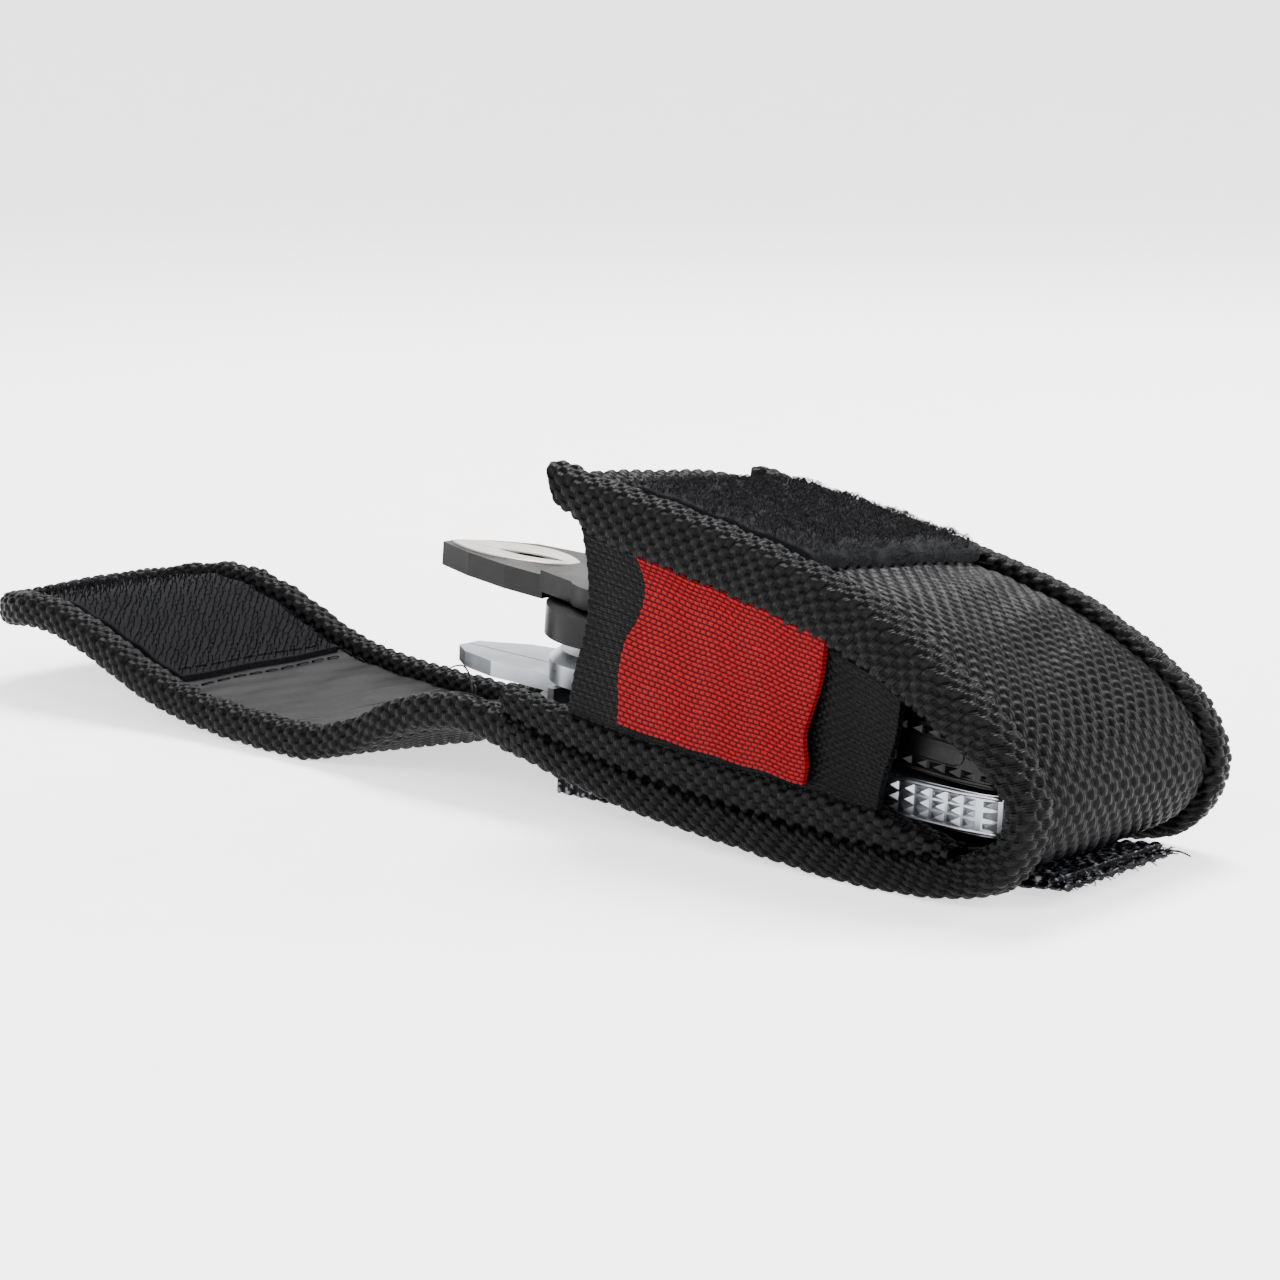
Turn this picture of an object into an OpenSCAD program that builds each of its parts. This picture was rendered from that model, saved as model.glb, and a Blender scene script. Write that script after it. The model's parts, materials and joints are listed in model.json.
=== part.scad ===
// Belt pouch with its flap open, holding two small adjustable hand tools:
// pump pliers in black steel above a chromed pliers wrench.
// X runs from the flap (-X) to the closed round end (+X), Z is up, Z = 0 is the table.
// The origin lies on the underside of the sewn foot of the belt strap.

/* [Pouch] */
// Width over the bound edges
pouch_w = 38.8; // [36:0.2:42]
// Width of the edge binding
binding_w = 3.7; // [3:0.1:4.5]
// Thickness of the outer panel
panel_t = 1.6; // [1.2:0.1:1.8]
// Thickness of the lining
lining_t = 0.5; // [0.3:0.1:0.6]
// Thickness of the sewn-in back liner
liner_t = 1; // [0.6:0.1:1.1]
// Thickness of the side elastics
elastic_t = 2; // [1.2:0.1:2.2]
// Thickness of the coloured tab
tab_t = 1.1; // [0.6:0.1:1.2]
// Height of the loop pile on the front
pile_t = 1.2; // [0.6:0.1:1.4]

/* [Flap] */
// Thickness of the flap panel
flap_t = 2.2; // [1.6:0.1:2.4]
// Thickness of the flap binding
flap_edge_t = 4; // [3.4:0.1:4.2]
// X of the hinge line at the pouch
hinge_x = -5; // [-6:0.5:-5]
// X of the lower fold, just past the tips of the tools
fold_low_x = -38; // [-40:0.5:-38]
// X of the upper fold
fold_top_x = -60; // [-64:0.5:-60]
// X of the fold over the mouth
fold_end_x = -102; // [-103:0.5:-101]
// X of the flap's tip
flap_tip_x = -118; // [-120:1:-114]

/* [Belt strap] */
// Width of the webbing
strap_w = 20.5; // [20:0.5:25]
// Thickness of the webbing
strap_t = 0.8; // [0.6:0.1:0.9]
// Thickness of the hook tape on it
strap_hook_t = 0.7; // [0.5:0.1:0.7]
// X of the free end
strap_end_x = 70.5; // [66:0.5:71]

/* [Tools] */
// Nose-up pitch of the pump pliers
pump_pitch = 5.5; // [5:0.1:6]
// Nose-up pitch of the pliers wrench
wrench_pitch = 2.6; // [2.4:0.1:2.8]
// Thickness of the pump pliers' handles
pump_handle_t = 5.8; // [5:0.1:5.8]
// Thickness of the wrench's handles
wrench_handle_t = 4.6; // [4:0.1:4.6]
// Radius of both joint bolts
bolt_r = 2.5; // [2.2:0.1:2.6]
// Radial clearance of bolts, pins and buttons
fit = 0.05; // [0.03:0.01:0.08]

/* [Hidden] */
$fn = 48;

half_w = pouch_w / 2;
inner_w = half_w - binding_w;
gap = 0.25;
hinge_gap = 0.6;
curve_steps = 4;

black = "#232326";
tape_black = "#1b1b1e";
elastic_black = "#19191b";
pile_black = "#2a2c33";
red = "#c0211f";
steel_black = "#38383b";
steel_bright = "#c9cbce";

// ---- Outlines in the side view, as [x, z] ----

// Outer face of the body panel, from the hinge along the back, round the end and up the front
body_line = [[-5, 4.2], [17, 3.0], [45, 2.7], [60, 3.0], [67.5, 5.2], [70.4, 11], [67.9, 16.9],
    [61, 22.4], [48, 28.8], [26, 34], [4, 37.5]];
// Outer and inner edges of the bound sides
edge_outer = [[-5, 5], [17, 2.5], [32, 1.1], [47, 0], [60, 0.8], [67.4, 3.6], [70.9, 10.8],
    [67.8, 17.4], [60.5, 23.1], [48, 29.6], [26, 35], [4, 38.8]];
edge_inner = [[-5, 8.9], [17, 6.9], [32, 5.5], [47, 4.6], [58, 4.8], [64.6, 6.8], [67.2, 10.8],
    [65, 14.2], [58, 18.2], [46, 23.6], [26, 28.2], [10, 31.6], [4.6, 36.2]];
// Upper edge of the liner's own binding, which lies along the back inside the side
liner_edge_top = [[-4, 12.9], [17, 11.1], [34, 9.7], [50, 8.4]];
// Underside of the flap, lying open in a low wave
flap_line = [[-5, 4.4], [-12, 4.6], [-20, 3.6], [-28, 1.8], [-36, 0.3], [-44, 0], [-59, 0.9],
    [-72, 3.3], [-86, 8], [-97, 10.4], [-108, 10.6], [-118, 9.5]];

// Smooth curve through a list of points
function spline(a, b, c, d, t) = 0.5 * ((2 * b) + (c - a) * t + (2 * a - 5 * b + 4 * c - d) * t * t
    + (3 * b - a - 3 * c + d) * t * t * t);
function smooth(p, n = curve_steps) = [
    for (i = [0:len(p) - 2], k = [0:n - 1])
        spline(p[max(i - 1, 0)], p[i], p[i + 1], p[min(i + 2, len(p) - 1)], k / n),
    p[len(p) - 1]];

// Height of a line at x, for lines whose x falls or rises steadily
function height_at(line, x, step) = let (i = [for (k = [0:len(line) - 2])
    if (step * line[k][0] <= step * x && step * line[k + 1][0] >= step * x) k][0],
    a = line[i], b = line[i + 1]) a[1] + (b[1] - a[1]) * (x - a[0]) / (b[0] - a[0]);

function unit(v) = v / norm(v);
function tangent(p, i) = unit(p[min(i + 1, len(p) - 1)] - p[max(i - 1, 0)]);
// The same line moved to its left by d
function shifted(p, d) = [for (i = [0:len(p) - 1]) let (t = tangent(p, i)) p[i] + d * [-t[1], t[0]]];
function reversed(p) = [for (i = [len(p) - 1:-1:0]) p[i]];

// Solid between two side-view lines, across the width from y0 to y1
module across(y0, y1) translate([0, y1, 0]) rotate([90, 0, 0]) linear_extrude(y1 - y0) children();
module ribbon(line, low, high, y0, y1)
    across(y0, y1) polygon(concat(shifted(line, low), reversed(shifted(line, high))));
module both_edges() for (side = [-1, 1]) scale_side(side) children();
module scale_side(side) if (side < 0) mirror([0, 1, 0]) children(); else children();

// ---- Pouch ----

body_curve = smooth(body_line);
body_top = panel_t + lining_t;
// Part of the body curve between two of its own point numbers
function stretch(line, first, last) = [for (i = [first:last]) line[i]];
front_start = 8 * curve_steps + 2;
liner_curve = smooth([[-4.6, 4.18], [17, 3.0], [45, 2.7]]);
mouth_x = 1.6;

module body_panel() color(black) ribbon(body_curve, 0, panel_t, -inner_w, inner_w);

module body_lining() color("#35363a") ribbon(body_curve, panel_t, body_top, -inner_w, inner_w);

module body_binding() across(inner_w, half_w)
    polygon(concat(smooth(edge_outer), reversed(smooth(edge_inner))));
module body_binding_left() color(tape_black) body_binding();
module body_binding_right() color(tape_black) mirror([0, 1, 0]) body_binding();

module mouth_binding() color(tape_black) across(-inner_w, inner_w) difference() {
    polygon([[mouth_x, 34.2], [mouth_x - 0.6, 36.4], [mouth_x, 38.6], [6.6, 37.9], [6.4, 33.9]]);
    polygon(concat(shifted(body_curve, -0.02), reversed(shifted(body_curve, body_top + 0.02))));
}

module back_liner() color("#35363a")
    ribbon(liner_curve, body_top, body_top + liner_t, -inner_w, inner_w);

module liner_binding() across(inner_w, half_w - 0.4)
    polygon(concat([for (x = [-4, 17, 34, 50]) [x, height_at(smooth(edge_inner), x, 1)]],
        reversed(liner_edge_top)));
module liner_binding_left() color(tape_black) liner_binding();
module liner_binding_right() color(tape_black) mirror([0, 1, 0]) liner_binding();

elastic_y = inner_w + 0.5;
elastic_outline = [[4.2, 12.25], [50, 8.45], [52.7, 20.6], [26, 28.15], [9.2, 31.6]];
module elastic() across(elastic_y, elastic_y + elastic_t) polygon(elastic_outline);
module elastic_left() color(elastic_black) elastic();
module elastic_right() color(elastic_black) mirror([0, 1, 0]) elastic();

tab_outline = [[12.5, 13], [26, 11.6], [40.1, 10.3], [41.2, 16], [43.1, 23.9], [29, 27.3], [15.8, 29.8],
    [13.6, 21]];
module red_tab() color(red) across(-elastic_y - elastic_t - tab_t, -elastic_y - elastic_t)
    polygon(tab_outline);

module loop_patch() color(pile_black)
    ribbon(stretch(body_curve, front_start, len(body_curve) - 3), -pile_t, 0, -inner_w + 1, inner_w - 1);

back_loop_t = 0.9;
module back_loop_patch() color(pile_black)
    ribbon(stretch(body_curve, 6, 12), -back_loop_t, 0, -strap_w / 2, strap_w / 2);

foot_x0 = -4;
foot_x1 = 2;
module strap_foot() color(tape_black) across(-strap_w / 2, strap_w / 2)
    polygon(concat([[foot_x0, 0], [foot_x1, 0]],
        [for (x = [foot_x1, body_curve[1][0], foot_x0]) [x, height_at(body_curve, x, 1)]]));

// Short dense bars of stitching that hold the liner, the flap and the strap's foot together
module hinge_bartacks() color(tape_black) for (side = [-1, 1]) translate([-3.2, side * 11.5 - 2.5, 7.25])
    cube([1.6, 5, 0.5]);

// ---- Flap ----

flap_curve = smooth(flap_line, 3);
flap_tip_r = 16;
// Points of the flap line between two x places, with exact ends
function flap_part(x0, x1) = concat([[x0, height_at(flap_curve, x0, -1)]],
    [for (p = flap_curve) if (p[0] < x0 - 0.2 && p[0] > x1 + 0.2) p],
    [[x1, height_at(flap_curve, x1, -1)]]);
// Vertical slab of the flap between two x places, from one height above its underside to another
module flap_slab(x0, x1, low, high, y0, y1) {
    part = flap_part(x0, x1);
    across(y0, y1) polygon(concat([for (p = part) p + [0, low]], [for (p = reversed(part)) p + [0, high]]));
}
module flap_panel(x0, x1) flap_slab(x0, x1, 0, flap_t, -inner_w, inner_w);
module flap_bindings(x0, x1) both_edges() flap_slab(x0, x1, 0, flap_edge_t, inner_w, half_w);
// Plan of the rounded tip, inset by d from the edge
module tip_plan(d) translate([0, 0, -5]) linear_extrude(30) union() {
    translate([flap_tip_x + flap_tip_r, -half_w + d]) square([20, 2 * (half_w - d)]);
    for (side = [-1, 1]) translate([flap_tip_x + flap_tip_r, side * (half_w - flap_tip_r)])
        circle(r = flap_tip_r - d);
    translate([flap_tip_x + d, -half_w + flap_tip_r]) square([flap_tip_r, 2 * (half_w - flap_tip_r)]);
}

module flap_root_panel() color(black) flap_panel(hinge_x - hinge_gap, fold_low_x + gap);
module flap_root_binding() color(tape_black) flap_bindings(hinge_x - hinge_gap, fold_low_x + gap);
module flap_mid_panel() color(black) flap_panel(fold_low_x - gap, fold_top_x + gap);
module flap_mid_binding() color(tape_black) flap_bindings(fold_low_x - gap, fold_top_x + gap);
module flap_tip_panel() color(black) flap_panel(fold_top_x - gap, fold_end_x + gap);
module flap_tip_binding() color(tape_black) flap_bindings(fold_top_x - gap, fold_end_x + gap);
module flap_end_panel() color(black) intersection() {
    flap_slab(fold_end_x - gap, flap_tip_x, 0, flap_t, -inner_w, inner_w);
    tip_plan(binding_w);
}
module flap_end_binding() color(tape_black) difference() {
    intersection() {
        flap_slab(fold_end_x - gap, flap_tip_x, 0, flap_edge_t, -half_w, half_w);
        tip_plan(0);
    }
    tip_plan(binding_w);
}

hook_x0 = -70;
hook_x1 = -112;
hook_w = 28;
hook_t = 1.2;
module hook_tape(x0, x1) color("#1b1b24") intersection() {
    flap_slab(x0, x1, flap_t, flap_t + hook_t, -hook_w / 2, hook_w / 2);
    translate([0, 0, -5]) linear_extrude(30) polygon([[hook_x0, -hook_w / 2], [hook_x0, hook_w / 2],
        [fold_end_x, hook_w / 2], [hook_x1, 7], [hook_x1, -7], [fold_end_x, -hook_w / 2]]);
}
module hook_patch() hook_tape(hook_x0, fold_end_x + gap);
module hook_patch_end() hook_tape(fold_end_x - gap, hook_x1);

// ---- Belt strap ----

module strap_layer(x0, x1, z0, t) translate([x0, -strap_w / 2, z0]) cube([x1 - x0, strap_w, t]);
module belt_strap() color(tape_black) strap_layer(foot_x1 + gap, strap_end_x, 0, strap_t);
module strap_hook_tape() color(pile_black) strap_layer(30, strap_end_x - 1.2, strap_t, strap_hook_t);

// ---- Shared tool shapes, in the plane of the tool ----

tail_x = 63.5;
// One handle, from its neck near the joint to its round tail, as [x, y] round the outline
near_handle = [[-1, -3], [4, -9.6], [12, -12.6], [24, -13.9], [44, -14], [58, -13.6], [62.4, -12.4],
    [tail_x, -10.4], [62, -8.4], [56, -7.4], [40, -7], [22, -6.9], [12, -6], [6, -4]];
far_handle = [[9, 9.4], [20, 8.9], [34, 8.5], [48, 8.2], [58, 7.2], [62.2, 5.6], [tail_x, 3.8],
    [62, 2.2], [56, 1.6], [40, 1.4], [24, 1.2], [9, 2.4]];

// Puts a tool on its joint bolt at [x, y, z], nose up by an angle
module on_bolt(place, pitch) translate(place) rotate([0, pitch, 0]) children();
module plate(z0, z1) translate([0, 0, z0]) linear_extrude(z1 - z0) children();
// The plan outlines are drawn in pouch X and Y, so they are moved to the bolt
module about_bolt(place) translate([-place[0], -place[1]]) children();
module stadium(length, angle, r) rotate(angle) union() {
    circle(r = r);
    translate([0, -r]) square([length, 2 * r]);
    translate([length, 0]) circle(r = r);
}
// Coil of closed rings inside the bolt, under the button
module button_spring(z0, z1, r) for (i = [0:3])
    translate([0, 0, z0 + 0.25 + i * (z1 - z0 - 0.5) / 3]) rotate_extrude() translate([r - 0.3, 0])
        circle(r = 0.22, $fn = 16);

// ---- Pump pliers ----

pump_at = [-6, 3, 20.9];
pump_low = -3.8;
pump_top = 2.8;
layer_gap = 0.15;
jaw_angle = 13.4;
jaw_low = -0.8;
jaw_top = 2.2;
adjust_angle = 17;
adjust_travel = 6;
button_r = 1.5;
button_seat = 1.2;

module pump_place() on_bolt(pump_at, pump_pitch) children();
// Everything on the far side of the line where the jaws meet, or on the near side
module far_of_jaw_line(clear) translate([-35, 2.4]) rotate(jaw_angle)
    translate([-2, clear]) square([40, 20]);
module near_of_jaw_line(clear) translate([-35, 2.4]) rotate(jaw_angle)
    translate([-20, -20 - clear]) square([44, 20]);
module pipe_grip() translate([-23.6, 5.1]) rotate(jaw_angle)
    intersection() { translate([0, -5]) circle(r = 5.9); translate([0, 5]) circle(r = 5.9); }
module head_plan() difference() {
    polygon([[-35, 1.2], [-29, -0.2], [-22, -0.9], [-15, -0.7], [-9, -1.6], [-9, 12.4], [-13, 13.2],
        [-20, 12.8], [-27.5, 11], [-32, 7.4], [-35, 3.6]]);
    pipe_grip();
}

module pump_inner_half() color(steel_black) pump_place() difference() {
    union() {
        plate(pump_low, -layer_gap) about_bolt(pump_at) {
            translate([pump_at[0], pump_at[1]]) circle(r = 9);
            polygon([[-14, 8], [-16, 12.9], [-10, 13], [-4, 11]]);
            polygon([[-8, -5.4], [-1, -5], [6, 0.5], [3, 4]]);
        }
        plate(pump_low, jaw_top) about_bolt(pump_at) intersection() {
            polygon([[-16.5, 5], [-16.5, 13.1], [-13, 13.2], [-11, 12.8], [-12.6, 9.2]]);
            far_of_jaw_line(0.1);
        }
        plate(jaw_low, jaw_top) about_bolt(pump_at) intersection() {
            difference() { head_plan(); translate([-11, -5]) square(30); }
            far_of_jaw_line(0.1);
        }
        plate(pump_low, -layer_gap) about_bolt(pump_at) polygon(near_handle);
        plate(-pump_handle_t / 2, pump_handle_t / 2) about_bolt(pump_at) difference() {
            polygon(smooth(near_handle, 3));
            translate([-20, -20]) square([26, 40]);
        }
    }
    translate([0, 0, pump_low - 1]) cylinder(h = 20, r = bolt_r + fit);
    // underside of the handle is level with its own face, past the joint
    translate([14, -30, pump_low - 1]) cube([80, 60, pump_handle_t / -2 - pump_low + 1]);
}

module pump_slotted_half() color(steel_black) pump_place() difference() {
    union() {
        plate(layer_gap, pump_top) about_bolt(pump_at) {
            intersection() {
                union() {
                    translate([pump_at[0], pump_at[1]]) stadium(9, adjust_angle, 6.2);
                    polygon([[-16, -0.8], [-16, 6.6], [-6, 9], [-3, -3]]);
                }
                near_of_jaw_line_wide();
            }
            polygon([[2, 0.8], [2, 11.6], [9, 10.6], [13, 9.3], [13, 1.9]]);
        }
        plate(jaw_low, jaw_top) about_bolt(pump_at) intersection() {
            difference() { head_plan(); translate([-15.6, -5]) square(30); }
            near_of_jaw_line(0.1);
        }
        plate(-pump_handle_t / 2, pump_handle_t / 2) about_bolt(pump_at) difference() {
            polygon(smooth(far_handle, 3));
            translate([-20, -20]) square([32.5, 40]);
        }
    }
    translate([0, 0, layer_gap - 1]) linear_extrude(20) stadium(adjust_travel, adjust_angle, bolt_r + fit);
}
module near_of_jaw_line_wide() translate([-35, 2.4]) rotate(jaw_angle)
    translate([-20, -30.1]) square([80, 30]);

// The bolt's head lies under the inner half; the button is let into its other end
module bolt(low, high, head_t) difference() {
    union() {
        translate([0, 0, low]) cylinder(h = high - low, r = bolt_r);
        translate([0, 0, low - head_t]) cylinder(h = head_t, r = bolt_r + 1);
    }
    translate([0, 0, high - 3]) cylinder(h = 4, r = button_r + fit);
}
module pump_bolt() color(steel_bright) pump_place() bolt(pump_low, pump_top + 0.3, 0.2);
module pump_bolt_washer() color(steel_black) pump_place() difference() {
    translate([0, 0, pump_top + 0.3]) cylinder(h = 0.3, r = bolt_r + 0.5);
    translate([0, 0, pump_top]) cylinder(h = 1, r = button_r + 2 * fit);
}
module pump_button() color(steel_black) pump_place()
    translate([0, 0, pump_top + 0.3 - button_seat]) cylinder(h = button_seat + 1.1, r = button_r);
module pump_button_spring() color(steel_bright) pump_place()
    button_spring(pump_top - 2.7, pump_top + 0.3 - button_seat, button_r);

// ---- Pliers wrench ----

wrench_at = [-6, 4, 11.8];
wrench_low = -3.8;
wrench_mid0 = -2.4;
wrench_mid1 = -0.4;
wrench_top = 3.6;
guide_x = -9.6;
drive_pin_x = -14;
drive_pin_r = 0.9;
wrench_travel = 4;

module wrench_place() on_bolt(wrench_at, wrench_pitch) children();

module wrench_frame_half() color(steel_bright) wrench_place() difference() {
    union() {
        plate(wrench_low, wrench_mid0 - 0.1) about_bolt(wrench_at) {
            translate([-6, 2.6]) circle(r = 9.6);
            polygon([[-17, 4.3], [-17, 9.4], [-8, 11.8], [-3, 4]]);
            polygon([[-10, -5.8], [-2, -7], [4, -9.6], [6, 0.5], [2, 6]]);
        }
        // fixed jaw and its root
        plate(wrench_mid0, wrench_mid1) about_bolt(wrench_at)
            polygon([[-33, 3.9], [-33, 5.6], [-27, 9.4], [-19, 11.2], [-10, 11.6], [-10, 3.9]]);
        plate(wrench_low, wrench_mid1) about_bolt(wrench_at) {
            polygon([[-16, 4.3], [-16, 11.2], [-10, 11.6], [-10, 7]]);
            translate([guide_x, -6]) square([1, 16]);
            polygon([[-1.4, -8.2], [4, -9.6], [7, -10.8], [7, -3], [3, -4.4]]);
        }
        plate(-wrench_handle_t / 2, wrench_handle_t / 2) about_bolt(wrench_at) difference() {
            polygon(smooth(near_handle, 3));
            translate([-20, -20]) square([26, 40]);
        }
    }
    translate([0, 0, wrench_low - 1]) linear_extrude(20) stadium(wrench_travel, -90, bolt_r + fit);
    translate([13, -30, wrench_low - 1]) cube([80, 60, wrench_handle_t / -2 - wrench_low + 1]);
}

module wrench_lever_half() color(steel_bright) wrench_place() difference() {
    union() {
        // the head of the lever is a low cone on the joint
        translate([0, 0, wrench_mid1 + 0.2]) cylinder(h = 2.6, r = 9.4);
        translate([0, 0, wrench_mid1 + 2.8]) cylinder(h = wrench_top - wrench_mid1 - 2.8, r1 = 9.4, r2 = 8);
        plate(wrench_mid1 + 0.2, 2.3) about_bolt(wrench_at)
            polygon([[0, 1], [1, 11.6], [9, 10.4], [13, 9.3], [13, 1.9]]);
        plate(-wrench_handle_t / 2, wrench_handle_t / 2) about_bolt(wrench_at) difference() {
            polygon(smooth(far_handle, 3));
            translate([-20, -20]) square([32.5, 40]);
        }
    }
    translate([0, 0, -5]) cylinder(h = 20, r = bolt_r + fit);
    translate([drive_pin_x - wrench_at[0], 0, -5]) cylinder(h = 20, r = drive_pin_r);
}

module wrench_sliding_jaw() color(steel_bright) wrench_place() difference() {
    plate(wrench_mid0, wrench_mid1) about_bolt(wrench_at)
        polygon([[-33, 3.7], [-33, 2.2], [-30, 0.2], [-24, -1.2], [-19, -1.2], [-12, -1.4], [-9.8, -1.4],
            [-9.8, 3.7]]);
    // short slot for the drive pin
    translate([drive_pin_x - wrench_at[0], -1.6, -5]) linear_extrude(20)
        translate([-0.4, 0]) stadium(0.8, 0, drive_pin_r + fit);
}
// The pin hangs from the lever into the jaw's slot
module wrench_drive_pin() color(steel_bright) wrench_place()
    translate([drive_pin_x - wrench_at[0], 0, wrench_mid1 + 0.2]) cylinder(h = 3.2, r = drive_pin_r);

module wrench_bolt() color(steel_bright) wrench_place() bolt(wrench_low, wrench_top + 0.1, 0.2);
module wrench_bolt_washer() color(steel_bright) wrench_place() difference() {
    translate([0, 0, wrench_top + 0.1]) cylinder(h = 0.2, r = bolt_r + 0.5);
    translate([0, 0, wrench_top - 1]) cylinder(h = 3, r = button_r + 2 * fit);
}
module wrench_button() color(steel_black) wrench_place()
    translate([0, 0, wrench_top + 0.1 - button_seat]) cylinder(h = button_seat + 0.8, r = button_r);
module wrench_button_spring() color(steel_bright) wrench_place()
    button_spring(wrench_top - 2.9, wrench_top + 0.1 - button_seat, button_r);

body_panel();
body_lining();
body_binding_left();
body_binding_right();
mouth_binding();
back_liner();
liner_binding_left();
liner_binding_right();
elastic_left();
elastic_right();
red_tab();
loop_patch();
back_loop_patch();
strap_foot();
hinge_bartacks();
flap_root_panel();
flap_root_binding();
flap_mid_panel();
flap_mid_binding();
flap_tip_panel();
flap_tip_binding();
hook_patch();
flap_end_panel();
flap_end_binding();
hook_patch_end();
belt_strap();
strap_hook_tape();
pump_inner_half();
pump_slotted_half();
pump_bolt();
pump_bolt_washer();
pump_button();
pump_button_spring();
wrench_frame_half();
wrench_lever_half();
wrench_sliding_jaw();
wrench_drive_pin();
wrench_bolt();
wrench_bolt_washer();
wrench_button();
wrench_button_spring();
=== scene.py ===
"""Looks of a black nylon belt pouch, flap open, that holds two small hand tools.

Every cloth part is laid out along the outlines of the solid it stands for, woven in real geometry,
and settled as one limp thing: the front leans, the mouth's corner curls and the flap's edge humps.
The tools keep their solids and get metal finishes, polished jaw faces and knurled grips.
Lengths are in millimetres until a mesh is made.
"""
import json
import math

import bmesh
import bpy
import numpy as np
from mathutils import Matrix, Vector


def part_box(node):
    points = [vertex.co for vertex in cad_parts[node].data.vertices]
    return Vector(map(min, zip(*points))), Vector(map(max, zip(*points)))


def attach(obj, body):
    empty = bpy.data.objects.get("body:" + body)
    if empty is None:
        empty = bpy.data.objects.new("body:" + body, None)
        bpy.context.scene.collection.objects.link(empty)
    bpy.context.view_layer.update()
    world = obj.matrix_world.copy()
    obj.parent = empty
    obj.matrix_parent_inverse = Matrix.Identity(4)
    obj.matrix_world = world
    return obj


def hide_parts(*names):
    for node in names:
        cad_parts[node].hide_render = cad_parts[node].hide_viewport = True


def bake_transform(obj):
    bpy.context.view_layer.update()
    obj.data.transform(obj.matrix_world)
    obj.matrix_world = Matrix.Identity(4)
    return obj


MM = 0.001
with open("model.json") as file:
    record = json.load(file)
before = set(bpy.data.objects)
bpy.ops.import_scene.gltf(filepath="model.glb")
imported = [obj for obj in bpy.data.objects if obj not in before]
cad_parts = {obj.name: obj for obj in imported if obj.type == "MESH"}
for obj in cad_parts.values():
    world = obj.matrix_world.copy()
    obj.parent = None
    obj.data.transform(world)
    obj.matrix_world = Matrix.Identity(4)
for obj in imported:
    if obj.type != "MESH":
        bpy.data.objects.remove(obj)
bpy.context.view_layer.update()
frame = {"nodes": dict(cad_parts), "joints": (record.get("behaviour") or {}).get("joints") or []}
cad = frame["nodes"]
joints = {j["name"]: j for j in frame["joints"]}
rng = np.random.default_rng(11)


# ---------------------------------------------------------------- camera, light and stage

LOOK_AT = Vector((0, 0, 17.8)) * MM
AZIMUTH, ELEVATION, DISTANCE = math.radians(42), math.radians(11), 384 * MM


def set_camera():
    data = bpy.data.cameras.new("camera")
    data.lens, data.sensor_width = 90, 36
    camera = bpy.data.objects.new("camera", data)
    away = Vector((math.sin(AZIMUTH) * math.cos(ELEVATION),
                   -math.cos(AZIMUTH) * math.cos(ELEVATION), math.sin(ELEVATION)))
    camera.location = LOOK_AT + away * DISTANCE
    camera.rotation_euler = away.to_track_quat("Z", "Y").to_euler()
    bpy.context.scene.collection.objects.link(camera)
    bpy.context.scene.camera = camera


def soft_light(name, place, size, power):
    """A square soft box, place in metres, that faces the object."""
    data = bpy.data.lights.new(name, "AREA")
    data.size, data.energy = size, power
    lamp = bpy.data.objects.new(name, data)
    lamp.location = place
    lamp.rotation_euler = (Vector(place) - LOOK_AT).to_track_quat("Z", "Y").to_euler()
    bpy.context.scene.collection.objects.link(lamp)


def set_lights():
    soft_light("key_overhead", (-0.2, 0.35, 0.85), 0.4, 22)
    soft_light("rim_behind", (0.55, 0.7, 0.4), 0.4, 10)
    soft_light("fill_front", (0.1, -0.8, 0.6), 0.3, 7)
    soft_light("side_right", (0.85, -0.25, 0.45), 0.3, 5)
    world = bpy.data.worlds.new("world")
    world.use_nodes = True
    world.node_tree.nodes["Background"].inputs["Color"].default_value = (1, 1, 1, 1)
    world.node_tree.nodes["Background"].inputs["Strength"].default_value = 0.6
    bpy.context.scene.world = world


# ---------------------------------------------------------------- materials

BLAST_GRAIN = 0.12


def linear(hex_colour):
    """sRGB hex to the linear colour that the shaders take."""
    parts = [int(hex_colour[i:i + 2], 16) / 255 for i in (1, 3, 5)]
    return [c / 12.92 if c <= 0.04045 else ((c + 0.055) / 1.055) ** 2.4 for c in parts] + [1.0]


def add(tree, kind, inputs=None, **settings):
    """Adds one node; an input is a value, or the output socket that feeds it."""
    node = tree.nodes.new("ShaderNode" + kind)
    for key, value in settings.items():
        setattr(node, key, value)
    for key, value in (inputs or {}).items():
        if isinstance(value, bpy.types.NodeSocket):
            tree.links.new(value, node.inputs[key])
        else:
            node.inputs[key].default_value = value
    return node


def new_material(name, **principled):
    material = bpy.data.materials.new(name)
    material.use_nodes = True
    tree = material.node_tree
    shader = tree.nodes["Principled BSDF"]
    for key, value in principled.items():
        shader.inputs[key.replace("_", " ").title().replace("Ior", "IOR")].default_value = value
    return material, tree, shader


def mixed(tree, share, low, high):
    """Colour between two hex colours."""
    mix = add(tree, "Mix", {"Factor": share}, data_type="RGBA")
    for socket, colour in (("A", low), ("B", high)):
        here = [i for i in mix.inputs if i.name == socket and i.type == "RGBA"][0]
        if isinstance(colour, str):
            here.default_value = linear(colour)
        else:
            tree.links.new(colour, here)
    return [o for o in mix.outputs if o.type == "RGBA"][0]


def ramp(tree, value, low, high):
    """value mapped from low..high to 0..1, held at the ends."""
    node = add(tree, "MapRange", {"Value": value, "From Min": low, "From Max": high})
    return node.outputs["Result"]


def bumped(tree, shader, height, strength, depth):
    """Small relief of the surface; depth is in mm."""
    bump = add(tree, "Bump", {"Height": height, "Strength": strength, "Distance": depth * MM})
    tree.links.new(bump.outputs["Normal"], shader.inputs["Normal"])


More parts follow.
